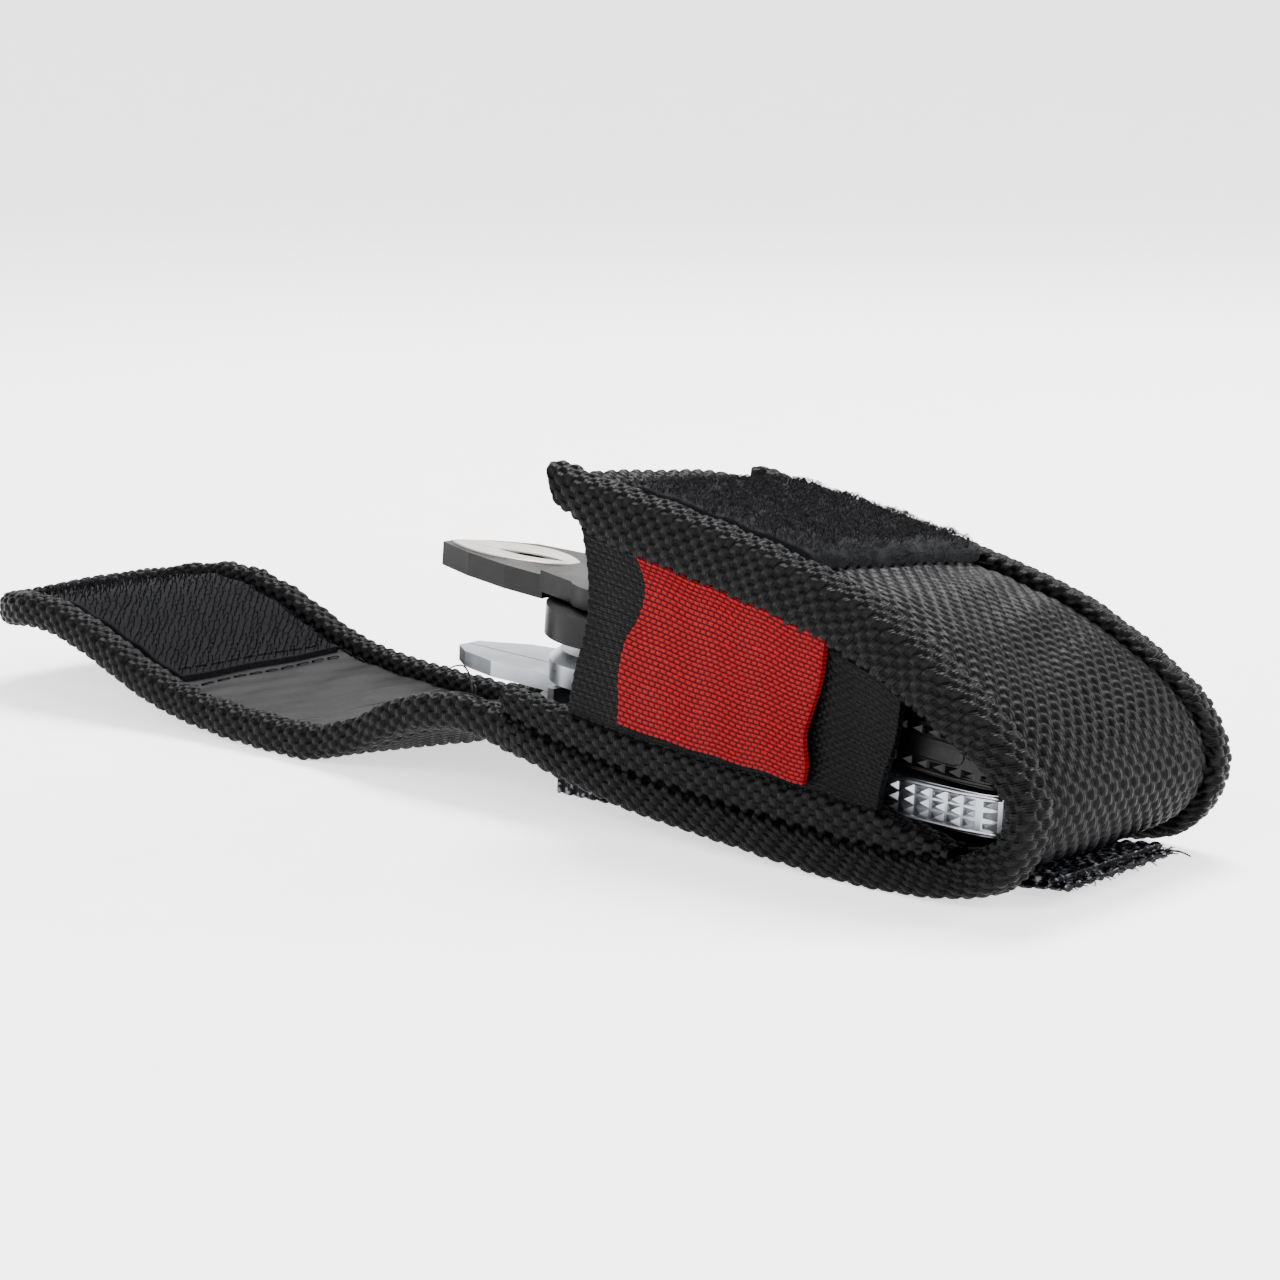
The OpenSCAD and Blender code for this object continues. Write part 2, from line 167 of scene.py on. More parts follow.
def yarn_cloth(name, gap_shade, yarn, glint, filament=0.3, gloss=0.07, glint_rarity=0.72, across=False):
    """Woven synthetic yarn: rounded yarns, painted shade that darkens the gaps between them, painted glints
    on random specks, and the bundles of filaments in each yarn.
    filament is their spacing in mm; glint_rarity is how rare the painted glints are."""
    material, tree, shader = new_material(name, roughness=0.42, specular_ior_level=gloss)
    lift = add(tree, "Attribute", attribute_name="lift").outputs["Fac"]
    cloth = add(tree, "Attribute", attribute_name="cloth").outputs["Vector"]
    fine = add(tree, "TexNoise", {"Vector": cloth, "Scale": 1.4, "Detail": 4.0}).outputs["Fac"]
    # painted shade: the colour runs from the yarn's own colour down to the dark gap colour where the weave
    # sinks between yarns
    body = mixed(tree, ramp(tree, lift, 0.25, 0.95), gap_shade, yarn)
    # painted highlight: noise lightens random specks of the yarn towards the glint colour
    body = mixed(tree, ramp(tree, fine, glint_rarity - 0.12, glint_rarity), body, glint)
    # more painted shade: the lowest parts of the weave are taken nearly to the dark gap colour
    body = mixed(tree, ramp(tree, lift, 0.05, 0.5), gap_shade, body)
    tree.links.new(body, shader.inputs["Base Color"])
    lines = add(tree, "TexWave", {"Vector": cloth, "Scale": math.tau / 20 / filament,
                                  "Distortion": 0.8, "Detail": 1.0, "Detail Scale": 1.5},
                bands_direction="Y" if across else "X")
    bumped(tree, shader, lines.outputs["Fac"], 0.5, 0.08)
    return material


def coated_lining():
    """Thin nylon with a rubbed coating inside: smooth, grey-black, a faint fine weave."""
    material, tree, shader = new_material("coated_nylon_lining", roughness=0.55, specular_ior_level=0.14)
    cloth = add(tree, "Attribute", attribute_name="cloth").outputs["Vector"]
    blotch = add(tree, "TexNoise", {"Vector": cloth, "Scale": 0.22, "Detail": 4.0}).outputs["Fac"]
    tree.links.new(mixed(tree, ramp(tree, blotch, 0.3, 0.75), "#040405", "#0b0b0d"),
                   shader.inputs["Base Color"])
    weave = add(tree, "TexChecker", {"Vector": cloth, "Scale": 2.6})
    bumped(tree, shader, weave.outputs["Fac"], 0.25, 0.05)
    return material


def fleece(name, low, high, sheen):
    """Napped loop pile or hook tape: no gloss, soft sheen, colour broken fibre by fibre."""
    material, tree, shader = new_material(name, roughness=0.85, sheen_weight=sheen,
                                          sheen_roughness=0.35, specular_ior_level=0.12)
    cloth = add(tree, "Attribute", attribute_name="cloth").outputs["Vector"]
    lint = add(tree, "TexNoise", {"Vector": cloth, "Scale": 2.2, "Detail": 6.0,
                                  "Roughness": 0.75}).outputs["Fac"]
    tree.links.new(mixed(tree, ramp(tree, lint, 0.38, 0.68), low, high), shader.inputs["Base Color"])
    bumped(tree, shader, lint, 0.8, 0.35)
    return material


def forged_metal(name, colour, worn, roughness):
    """Forged steel: a fine blasted or brushed grain, faint handling marks and lighter worn spots."""
    material, tree, shader = new_material(name, metallic=1.0)
    place = add(tree, "TexCoord").outputs["Object"]
    marks = add(tree, "TexNoise", {"Vector": place, "Scale": 260.0, "Detail": 5.0}).outputs["Fac"]
    grit = add(tree, "TexNoise", {"Vector": place, "Scale": 0.8 / (BLAST_GRAIN * MM),
                                  "Detail": 2.0}).outputs["Fac"]
    tree.links.new(mixed(tree, ramp(tree, marks, 0.5, 0.8), colour, worn), shader.inputs["Base Color"])
    rough = add(tree, "MapRange", {"Value": marks, "From Min": 0.3, "From Max": 0.8,
                                   "To Min": roughness, "To Max": roughness + 0.14})
    tree.links.new(rough.outputs["Result"], shader.inputs["Roughness"])
    bumped(tree, shader, grit, 0.12, 0.04)
    return material


def paper_white():
    material, tree, shader = new_material("matt_white_paper", roughness=0.9, emission_strength=1.3)
    place = add(tree, "TexCoord").outputs["Object"]
    fibre = add(tree, "TexNoise", {"Vector": place, "Scale": 90.0, "Detail": 3.0}).outputs["Fac"]
    tree.links.new(mixed(tree, ramp(tree, fibre, 0.3, 0.7), "#F1F1F2", "#F7F7F7"),
                   shader.inputs["Base Color"])
    return material


# For each cloth, the first colour is painted shade for the gaps between yarns, the second is the yarn's own
# colour and the third is a painted glint.
NYLON = yarn_cloth("basket_woven_ballistic_nylon", "#010101", "#0b0b0d", "#111113", filament=0.34,
                   across=True)
TAPE = yarn_cloth("woven_nylon_edge_tape", "#010101", "#0a0a0b", "#151516", filament=0.3)
ELASTIC = yarn_cloth("ribbed_black_elastic", "#010101", "#070708", "#0b0b0c", filament=0.26, across=True)
RED = yarn_cloth("ribbed_red_elastic", "#2a0103", "#78020a", "#88060d", filament=0.26, gloss=0.05,
                 across=True)
WEBBING = yarn_cloth("flat_woven_webbing", "#020203", "#101012", "#75757d", filament=0.3, glint_rarity=0.64)
LINING = coated_lining()
FLEECE = fleece("napped_loop_pile", "#030305", "#0e0f14", 0.05)
HOOKS = fleece("moulded_hook_tape", "#020204", "#07070c", 0.01)
THREAD = yarn_cloth("polyester_sewing_thread", "#040404", "#141415", "#242425", filament=0.2)
BLACK_STEEL = forged_metal("black_oxide_on_forged_steel", "#232323", "#2e2d2d", 0.35)
POLISHED = forged_metal("ground_and_polished_steel", "#d6d0c8", "#e8e3dc", 0.25)
CHROME = forged_metal("satin_chrome_plate", "#9a9da2", "#adb0b5", 0.26)
PAPER = paper_white()


# ---------------------------------------------------------------- outlines from the frame

def side_loop(node):
    """The outline of an extruded solid as seen from its side: ordered [x, z] in mm."""
    bm = bmesh.new()
    bm.from_mesh(cad[node].data)
    bmesh.ops.remove_doubles(bm, verts=bm.verts, dist=1e-6)
    far = max(v.co.y for v in bm.verts)
    cap = {f for f in bm.faces if all(abs(v.co.y - far) < 1e-6 for v in f.verts)}
    rim = [e for e in bm.edges if sum(f in cap for f in e.link_faces) == 1]
    steps = {}
    for edge in rim:
        a, b = edge.verts
        steps.setdefault(a, []).append(b)
        steps.setdefault(b, []).append(a)
    at = min(steps, key=lambda v: (v.co.x, v.co.z))
    loop, last = [], None
    while not loop or at is not start:
        if not loop:
            start = at
        loop.append((at.co.x / MM, at.co.z / MM))
        onward = [v for v in steps[at] if v is not last]
        at, last = onward[0], at
    bm.free()
    return np.array(loop)


def side_line(node, start, via, end):
    """The stretch of a solid's side outline from the corner near start to the one near end."""
    loop = side_loop(node)
    i, j = (int(np.argmin(np.hypot(*(loop - np.array(corner)).T))) for corner in (start, end))
    ahead = loop[[(i + k) % len(loop) for k in range((j - i) % len(loop) + 1)]]
    back = loop[[(i - k) % len(loop) for k in range((i - j) % len(loop) + 1)]]
    miss = [np.hypot(*(line - np.array(via)).T).min() for line in (ahead, back)]
    return ahead if miss[0] < miss[1] else back


def underside(node_names):
    """Lowest z of some solids at each x of their corners, from low x to high."""
    lowest = {}
    for name in node_names:
        for vertex in cad[name].data.vertices:
            key = round(vertex.co.x / MM, 1)
            lowest[key] = min(vertex.co.z / MM, lowest.get(key, 1e9))
    return np.array(sorted(lowest.items()))


def catmull(points, n=12):
    """Smooth curve through points, n steps to a span."""
    p = np.asarray(points, float)
    p = np.vstack([2 * p[0] - p[1], p, 2 * p[-1] - p[-2]])
    t = np.linspace(0, 1, n, endpoint=False)[:, None]
    spans = [0.5 * (2 * b + (c - a) * t + (2 * a - 5 * b + 4 * c - d) * t ** 2
                    + (3 * b - a - 3 * c + d) * t ** 3)
             for a, b, c, d in zip(p[:-3], p[1:-2], p[2:-1], p[3:])]
    return np.vstack(spans + [p[-2:-1]])


def lengths(line):
    return np.concatenate([[0], np.cumsum(np.linalg.norm(np.diff(line, axis=0), axis=1))])


def evenly(step, *lines):
    """Lines of equal point count, taken again at equal steps along the first. Returns them and s."""
    s = lengths(lines[0])
    at = np.linspace(0, s[-1], max(3, int(round(s[-1] / step)) + 1))
    return [np.column_stack([np.interp(at, s, line[:, k]) for k in range(line.shape[1])])
            for line in lines] + [at]


def shared_out(line, count):
    """A line taken again at count points, equally spaced along it."""
    s = lengths(line)
    at = np.linspace(0, 1, count) * s[-1]
    return np.column_stack([np.interp(at, s, line[:, k]) for k in (0, 1)])


def in_halves(step, outer, inner):
    """Two lines that run round the same end, taken so that points of one number face each other:
    each is halved at its furthest x. Returns both lines and the distance along the first."""
    halves = []
    for line in (outer, inner):
        turn = int(np.argmax(line[:, 0]))
        halves.append((line[:turn + 1], line[turn:]))
    pairs = []
    for part in (0, 1):
        count = int(round(lengths(halves[0][part])[-1] / step)) + 1
        pairs.append([shared_out(half[part], count) for half in halves])
    outer = np.vstack([pairs[0][0], pairs[1][0][1:]])
    inner = np.vstack([pairs[0][1], pairs[1][1][1:]])
    return outer, inner, lengths(outer)


def left_normals(line):
    d = np.gradient(line, axis=0)
    d /= np.linalg.norm(d, axis=1)[:, None]
    return np.column_stack([-d[:, 1], d[:, 0]])


def ease(t):
    t = np.clip(t, 0, 1)
    return t * t * (3 - 2 * t)


# ---------------------------------------------------------------- how the cloth settles

HALF_W = 19.4
SEAM_Y = 15.7
TAPE_W = 4.0
TAPE_STEP, NYLON_STEP, LINING_STEP = 0.2, 0.28, 1.2


def settle(p):
    """Moves points in mm the way the sewn pouch has relaxed on the table."""
    x, y, z = p[..., 0], p[..., 1], p[..., 2]
    # the front leans towards the left side, most at the mouth
    high = ease((z - 10) / 22) * ease((x + 10) / 8)
    lean = np.interp(x, [-5, 30, 60, 72], [1.9, 2.0, 1.2, 0.6])
    dz = -lean * np.clip(y / HALF_W, -1, 1) * high
    # the right corner of the mouth curls up and out
    curl = ease((9 - x) / 8) * ease((-y - 9) / 10) * ease((z - 31) / 5)
    dz += 1.3 * curl
    dx = -1.6 * curl
    # the flap's end has drawn in a little and sunk
    dx += np.clip(-60 - x, 0, None) * 0.08
    dz -= 2.2 * ease((-90 - x) / 24)
    # the flap's right edge stands in a hump just past the hinge
    hump = np.interp(x, [-40, -32, -24, -15, -8, -4, 4, 14], [0, 1.0, 2.8, 3.4, 3.0, 2.0, 0.8, 0])
    low = 1 - ease((z - 9) / 8)
    dz += hump * ease((-y - 6) / 13) * low
    # small unevenness of hand-turned tape
    uneven = np.sin(0.31 * x + 0.13 * y) * np.sin(0.53 * x + 1.7) + 0.5 * np.sin(0.9 * x + 0.4 * y + 2)
    dz += 0.16 * uneven * ease((z - 1) / 3)
    dy = 0.12 * uneven * np.sign(y) * ease((np.abs(y) - 14) / 3)
    return np.stack([x + dx, y + dy, z + dz], axis=-1)


# ---------------------------------------------------------------- weaving and meshing

def bricks(along, across, period, spacing, share=0.66):
    """Height 0..1 of a plain weave whose visible floats run along one way, each a rounded brick that
    takes up a share of its period. Neighbouring yarns are half a period apart."""
    column = np.floor(across / spacing)
    side = across / spacing - column
    phase = along / period + 0.5 * (column % 2)
    phase = (phase - np.floor(phase)) / share
    round_yarn = np.clip(1 - (2 * side - 1) ** 4, 0, 1) ** 0.7
    floats = np.sin(np.pi * np.clip(phase, 0, 1)) ** 0.38
    return round_yarn * floats


def tape_weave(s, t):
    return bricks(t, s, 1.9, 5.5 * TAPE_STEP, 0.7), 0.4


def nylon_weave(s, t):
    return bricks(s, t, 8 * NYLON_STEP, 1.0, 0.7), 0.34


def elastic_weave(s, t):
    return bricks(s, t, 1.12, 0.64, 0.9), 0.16


def tab_weave(s, t):
    return bricks(s, t, 0.91, 0.52, 0.95), 0.13


def webbing_weave(s, t):
    return bricks(s, t, 1.9, 1.0), 0.25


def smooth_weave(s, t):
    return 0.5 + 0.0 * s, 0.0


def rounded_section(width, height, radius, counts, corner=4):
    """Closed rounded rectangle at each station. width and height are numbers or one for each station;
    counts are the points on the outer face, the far side, the inner face and the near side.
    Returns u, v and the distance round it t."""
    w = np.atleast_1d(np.asarray(width, float))[:, None]
    h = np.atleast_1d(np.asarray(height, float))[:, None]
    w, h = np.broadcast_arrays(w, h)
    r = np.minimum(radius, 0.49 * np.minimum(w, h))
    turn = np.linspace(0, np.pi / 2, corner, endpoint=False)
    part = [np.linspace(0, 1, n, endpoint=False) for n in counts]
    u, v = [], []

    def edge(u0, v0, u1, v1, k):
        u.append(0 * w + u0 + (u1 - u0) * k)
        v.append(0 * w + v0 + (v1 - v0) * k)

    def bend(cu, cv, start):
        u.append(cu + r * np.cos(start + turn))
        v.append(cv + r * np.sin(start + turn))

    edge(r, 0, w - r, 0, part[0])
    bend(w - r, r, -np.pi / 2)
    edge(w, r, w, h - r, part[1])
    bend(w - r, h - r, 0)
    edge(w - r, h, r, h, part[2])
    bend(r, h - r, np.pi / 2)
    edge(0 * w, h - r, 0 * w, r, part[3])
    bend(r, r, np.pi)
    u = np.hstack([np.broadcast_to(a, (w.shape[0], a.shape[1])) for a in u])
    v = np.hstack([np.broadcast_to(a, (w.shape[0], a.shape[1])) for a in v])
    step = np.hypot(np.diff(u, axis=1), np.diff(v, axis=1))
    t = np.hstack([np.zeros((w.shape[0], 1)), np.cumsum(step, axis=1)])
    return u, v, t


def grid_normals(grid):
    du = np.gradient(grid, axis=0)
    dv = np.roll(grid, -1, axis=1) - np.roll(grid, 1, axis=1)
    n = np.cross(du, dv)
    n /= np.maximum(np.linalg.norm(n, axis=-1), 1e-9)[..., None]
    middle = grid.mean(axis=1, keepdims=True)
    return n if (n * (grid - middle)).sum() > 0 else -n


def woven(grid, s, t, weave, relax=True, mask=None):
    """Settles a closed tube-like grid in mm and raises the weave on it. Returns grid, cloth and lift."""
    s = np.broadcast_to(s[:, None], grid.shape[:2]) if s.ndim == 1 else s
    t = np.broadcast_to(t, grid.shape[:2])
    grid = settle(grid) if relax else grid
    height, tall = weave(s, t)
    rise = tall * (height - 0.5)
    if mask is not None:
        rise = rise * mask
    grid = grid + grid_normals(grid) * rise[..., None]
    return grid, np.stack([s, t, 0 * s], axis=-1), height


def piece_mesh(name, points, faces, material, cloth=None, lift=None, smooth=True):
    """Makes the object from arrays in mm."""
    mesh = bpy.data.meshes.new(name)
    mesh.from_pydata((np.asarray(points) * MM).tolist(), [], faces)
    if cloth is not None:
        mesh.attributes.new("cloth", "FLOAT_VECTOR", "POINT").data.foreach_set(
            "vector", np.asarray(cloth, np.float32).ravel())
    if lift is not None:
        mesh.attributes.new("lift", "FLOAT", "POINT").data.foreach_set(
            "value", np.asarray(lift, np.float32).ravel())
    mesh.materials.append(material)
    mesh.polygons.foreach_set("use_smooth", [smooth] * len(mesh.polygons))
    mesh.validate()
    obj = bpy.data.objects.new(name, mesh)
    bpy.context.scene.collection.objects.link(obj)
    return obj


def tube(name, made, material, first=0, last=None, thin=False):
    """A closed mesh from stations first..last of a woven grid. The ends of a thin sheet whose two faces
    have as many points each are closed across it, so that they may wave."""
    grid, cloth, lift = (a[first:last] for a in made)
    n, m = grid.shape[:2]
    i, j = np.meshgrid(np.arange(n - 1), np.arange(m), indexing="ij")
    k = (j + 1) % m
    quads = np.stack([i * m + j, (i + 1) * m + j, (i + 1) * m + k, i * m + k], axis=-1).reshape(-1, 4)
    points = grid.reshape(-1, 3)
    ring = list(range(m))
    caps = [ring, [(n - 1) * m + k for k in ring[::-1]]]
    if thin:
        rungs = [[k, k + 1, m - 2 - k, m - 1 - k] for k in range(m // 2 - 1)]
        caps = rungs + [[(n - 1) * m + k for k in rung[::-1]] for rung in rungs]
    corner = points[quads] - points.mean(axis=0)
    volume = (np.einsum("ij,ij->", corner[:, 0], np.cross(corner[:, 1], corner[:, 2]))
              + np.einsum("ij,ij->", corner[:, 0], np.cross(corner[:, 2], corner[:, 3])))
    faces = [f if volume > 0 else f[::-1] for f in quads.tolist() + caps]
    obj = piece_mesh(name, points, faces, material, cloth.reshape(-1, 3), lift.ravel())
    for cap in obj.data.polygons[-len(caps):]:
        cap.use_smooth = False
    return obj


def swept(line, u, v):
    """Grid of points: u is the y place and v the distance to the left of the line, at each station."""
    n = left_normals(line)
    u, v = np.broadcast_to(u, (len(line), u.shape[-1])), np.broadcast_to(v, (len(line), v.shape[-1]))
    return np.stack([line[:, :1] + n[:, :1] * v, u, line[:, 1:] + n[:, 1:] * v], axis=-1)


def joined(x, y, z):
    """Grid of points from x, y and z that fit each other's shape."""
    return np.stack(np.broadcast_arrays(x, y, z), axis=-1)


def fibres(name, paths, radius, material, sides=3):
    """Thin closed strands along paths, an array of shape (count, points, 3) in mm."""
    paths = np.asarray(paths, float)
    count, k = paths.shape[:2]
    d = np.gradient(paths, axis=1)
    d /= np.maximum(np.linalg.norm(d, axis=-1), 1e-9)[..., None]
    helper = np.where(np.abs(d[..., 2:]) < 0.8, [0, 0, 1.0], [1.0, 0, 0])
    a = np.cross(d, helper)
    a /= np.linalg.norm(a, axis=-1)[..., None]
    b = np.cross(d, a)
    turn = np.arange(sides) * math.tau / sides
    thin = np.linspace(1, 0.6, k)[None, :, None, None] * radius
    ring = (paths[:, :, None] + thin * (a[:, :, None] * np.cos(turn)[:, None]
                                        + b[:, :, None] * np.sin(turn)[:, None]))
    base = (np.arange(count) * k * sides)[:, None, None]
    i, j = np.meshgrid(np.arange(k - 1), np.arange(sides), indexing="ij")
    quads = np.stack([i * sides + j, i * sides + (j + 1) % sides, (i + 1) * sides + (j + 1) % sides,
                      (i + 1) * sides + j], axis=-1).reshape(1, -1, 4) + base
    caps = np.stack([np.arange(sides)[::-1], (k - 1) * sides + np.arange(sides)])[None] + base
    faces = quads.reshape(-1, 4).tolist() + caps.reshape(-1, sides).tolist()
    points = ring.reshape(-1, 3)
    return piece_mesh(name, points, faces, material, points, np.full(len(points), 0.6))


def finish_piece(obj, slot, body, *stands_for, bend=None):
    """Attaches a piece to its body's empty, or, when bend is given, bakes its place into its mesh; hides the
    solids that it stands for. slot is not used.
    """
    if bend:
        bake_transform(obj)
    else:
        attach(obj, body)
    if stands_for:
        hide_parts(*stands_for)
    return obj


# ---------------------------------------------------------------- the pouch

PANEL_T, FLAP_T = 1.6, 2.2
BODY_LINE = side_line("body_panel", (-5, 4.2), (70.4, 11), (4, 37.5))
EDGE_OUTER = side_line("body_binding_left", (-5, 5), (70.9, 10.8), (4, 38.8))
EDGE_INNER = side_line("body_binding_left", (-5, 8.9), (67.2, 10.8), (4.6, 36.2))


def crown(s, y):
    """How far the front's cloth is drawn up at its seams and sinks between them, from s = 0 at the
    hinge; the back stays flat."""
    free = ease((s / s[-1] - 0.3) / 0.15)[:, None]
    return free * (1.15 * (y / SEAM_Y) ** 6 - 0.3)


def body_panel():
    """The outer panel: one length of ballistic nylon from the hinge, round the end, to the mouth."""
    line, s = evenly(NYLON_STEP, catmull(BODY_LINE, 4))
    wide = SEAM_Y * 2 - 0.2
    u, v, t = rounded_section(wide, PANEL_T, 0.3, (int(wide / 0.22), 3, 14, 3), corner=2)
    y = u - wide / 2
    made = woven(swept(line, y, v + crown(s, y)), s, t, nylon_weave)
    return finish_piece(tube("outer_panel", made, NYLON), "ballistic_nylon", "pouch", "body_panel")


def body_lining():
    """The lining, loose enough to show soft creases at the mouth."""
    line, s = evenly(LINING_STEP, catmull(BODY_LINE, 4))
    wide = SEAM_Y * 2 - 0.6
    u, v, t = rounded_section(wide, 0.45, 0.15, (30, 2, 30, 2), corner=2)
    y = u - wide / 2
    crease = 0.12 * np.sin(0.8 * s[:, None] + 0.5 * np.sin(0.4 * y)) * np.sin(0.35 * y + 1)
    made = woven(swept(line, y, v + 1.62 + crease + crown(s, y)), s, t, smooth_weave)
    return finish_piece(tube("inner_lining", made, LINING), "lining", "pouch", "body_lining")


def body_binding(side, name, node):
    """Edge tape folded over the panel's edge: a narrow flange on top and a tall hem down the side."""
    outer, inner, s = in_halves(TAPE_STEP, catmull(EDGE_OUTER, 6), catmull(EDGE_INNER, 6))
    tall = np.linalg.norm(inner - outer, axis=1)
    down = (inner - outer) / tall[:, None]
    # the turned-in end at the mouth is folded double
    tall = np.maximum(tall, 4.6 * ease((s - s[-1] + 9) / 5))
    u, v, t = rounded_section(TAPE_W, tall, 1.15, (14, 32, 8, 8), corner=6)
    # the side face bellies out a little between its two edges
    belly = 0.25 * np.sin(np.pi * np.clip(v / tall[:, None], 0, 1)) * (u > 3)
    y = side * (HALF_W - TAPE_W + u + belly - 0.1)
    # its inner border stands proud of the panel
    v = v - 0.35 * np.exp(-((u - 0.9) / 1.3) ** 2) * (v < 0.5 * tall[:, None])
    grid = np.stack([outer[:, :1] + down[:, :1] * v, y, outer[:, 1:] + down[:, 1:] * v], axis=-1)
    made = woven(grid, s, t, tape_weave)
    return finish_piece(tube(name, made, TAPE), "binding_tape", "pouch", node)


def mouth_binding():
    """Tape over the front panel's edge at the mouth, from seam to seam."""
    edge, before = BODY_LINE[-1], BODY_LINE[-2]
    out = (edge - before) / np.linalg.norm(edge - before)
    inward = np.array([-out[1], out[0]])
    y = np.arange(-SEAM_Y + 0.1, SEAM_Y, TAPE_STEP)
    u, v, t = rounded_section(4.6, 3.1, 1.3, (16, 8, 10, 4), corner=6)
    x = edge[0] + out[0] * (u - 2.6) + inward[0] * (v - 0.7)
    z = edge[1] + out[1] * (u - 2.6) + inward[1] * (v - 0.7)
    sag = 0.35 * np.cos(y / SEAM_Y * np.pi / 2)[:, None]
    grid = joined(x, y[:, None], z + sag - 0.6 * (y[:, None] / SEAM_Y) ** 4)
    made = woven(grid, y, t, tape_weave)
    return finish_piece(tube("mouth_tape", made, TAPE), "binding_tape", "pouch", "mouth_binding")


def back_liner():
    """The second layer sewn inside the back, which carries on as the flap."""
    line, s = evenly(LINING_STEP, catmull(side_line("back_liner", (-4.6, 6.3), (20, 5), (45, 4.8)), 4))
    wide = SEAM_Y * 2 - 0.4
    u, v, t = rounded_section(wide, 0.9, 0.3, (30, 2, 30, 2), corner=2)
    made = woven(swept(line, u - wide / 2, v + 0.04), s, t, smooth_weave)
    return finish_piece(tube("back_liner_cloth", made, LINING), "lining", "pouch", "back_liner")


def liner_binding(side, name, node):
    """The liner's own bound edge, a second strip lying on the outer one."""
    low = EDGE_INNER[EDGE_INNER[:, 1] < 9.5]
    low = low[low[:, 0] < 61]
    low, s = evenly(TAPE_STEP, catmull(low, 6))
    top = np.interp(low[:, 0], [-5, 17, 34, 50, 57, 61], [12.9, 11.1, 9.7, 8.5, 6.9, 5.9])
    tall = top - low[:, 1] + 0.25
    u, v, t = rounded_section(3.7, tall, 1.1, (8, 20, 12, 6), corner=6)
    y = side * (HALF_W - 4.1 + u)
    grid = joined(low[:, :1], y, low[:, 1:] - 0.25 + v)
    made = woven(grid, s + 0.6, t, tape_weave)
    return finish_piece(tube(name, made, TAPE), "binding_tape", "pouch", node)


def even_shares(line, count):
    """A line taken again at count equal shares of its length."""
    share = lengths(line) / lengths(line)[-1]
    return np.column_stack([np.interp(np.linspace(0, 1, count), share, line[:, k]) for k in (0, 1)])


def side_cloth(left, right, top, bottom, step, out, thick, side, weave):
    """A gusset or tab in the side, between four edge curves given as [x, z]; out is how far its
    outer face stands from the middle plane, as a function of its two shares."""
    left, right, bottom, top = (catmull(edge, 10) for edge in (left, right, bottom, top))
    high = int(np.ptp(left[:, 1]) / step)
    long = int(np.ptp(bottom[:, 0]) / step)
    left, right = even_shares(left, high), even_shares(right, high)
    bottom, top = even_shares(bottom, long), even_shares(top, long)
    a = np.linspace(0, 1, long)[:, None, None]
    b = np.linspace(0, 1, high)[None, :, None]
    flat = ((1 - a) * left[None] + a * right[None] + (1 - b) * bottom[:, None] + b * top[:, None]
            - (1 - a) * (1 - b) * bottom[0] - a * (1 - b) * bottom[-1]
            - (1 - a) * b * top[0] - a * b * top[-1])
    stand = out(a[..., 0], b[..., 0])
    face = np.stack([flat[..., 0], side * stand, flat[..., 1]], axis=-1)
    back = face[:, ::-1].copy()
    back[..., 1] -= side * thick
    grid = np.concatenate([face, back], axis=1)
    s = np.broadcast_to(np.arange(long)[:, None] * step, (long, 2 * high))
    t = np.concatenate([np.arange(high), np.arange(high)[::-1]]) * step
    mask = np.repeat([1.0, 0.0], high)
    return woven(grid, s, t, weave, mask=mask)


def elastic(side, name, node):
    """Ribbed elastic that closes the side between the front's hem and the liner's edge."""
    def stand(a, b):
        return 18.3 - 0.9 * np.sin(np.pi * b) * np.sin(np.pi * np.clip(a, 0, 1)) ** 0.5
    made = side_cloth([(5.2, 12), (6.4, 17), (8.2, 22), (8.6, 27), (7.6, 32.5)],
                      [(50.2, 8), (50.9, 12), (52.4, 16.5), (53.2, 21)],
                      [(7.6, 32.5), (20, 29.9), (36, 26.6), (53.2, 21.0)],
                      [(5.2, 12), (20, 10.6), (36, 9.3), (50.2, 8)],
                      0.16, stand, 0.9, side, elastic_weave)
    return finish_piece(tube(name, made, ELASTIC, thin=True), "elastic_black", "pouch", node)


def red_tab():
    """A short length of red elastic sewn in above and below, its two free edges waving."""
    def stand(a, b):
        bulge = np.sin(np.pi * b) ** 0.8
        return 18.9 + 0.3 * bulge + 0.25 * np.sin(2 * np.pi * b + 1.2) * a
    made = side_cloth([(13.6, 12.4), (13.9, 14.9), (14.0, 17.8), (15.1, 21.4), (17.1, 24.2),
                       (17.9, 27.4), (16.4, 30.4)],
                      [(40.8, 9.8), (41.3, 12), (40.9, 15.0), (41.7, 17.4), (43.0, 20.8), (43.8, 25.2)],
                      [(16.4, 30.4), (26, 28.5), (34.6, 26.9), (43.8, 25.2)],
                      [(13.6, 12.4), (23, 11.5), (32, 10.7), (40.8, 9.8)],
                      0.13, stand, 0.7, -1, tab_weave)
    return finish_piece(tube("red_side_tab", made, RED, thin=True), "elastic_red", "pouch", "red_tab")


def nap(line, s, wide, h_top, count, reach):
    """Paths of short arched fibres that stand on the outer face of a swept sheet."""
    at = rng.uniform(0.02, 0.98, count) * s[-1]
    y = rng.uniform(-wide / 2, wide / 2, count)
    x0, z0 = np.interp(at, s, line[:, 0]), np.interp(at, s, line[:, 1])
    n = left_normals(line)
    nx, nz = np.interp(at, s, n[:, 0]), np.interp(at, s, n[:, 1])
    foot = np.stack([x0 - nx * h_top, y, z0 - nz * h_top], axis=-1)
    up = np.stack([-nx, 0 * nx, -nz], axis=-1)
    way = rng.uniform(0, math.tau, count)
    flat = np.stack([np.cos(way), np.sin(way), 0 * way], axis=-1)
    size = reach * rng.uniform(0.5, 1.25, count)[:, None]
    steps = np.linspace(0, 1, 6)
    arch = [foot + up * size * (1.1 * math.sin(math.pi * 0.82 * k)) + flat * size * (1.1 * k) for k in steps]
    return np.stack(arch, axis=1)


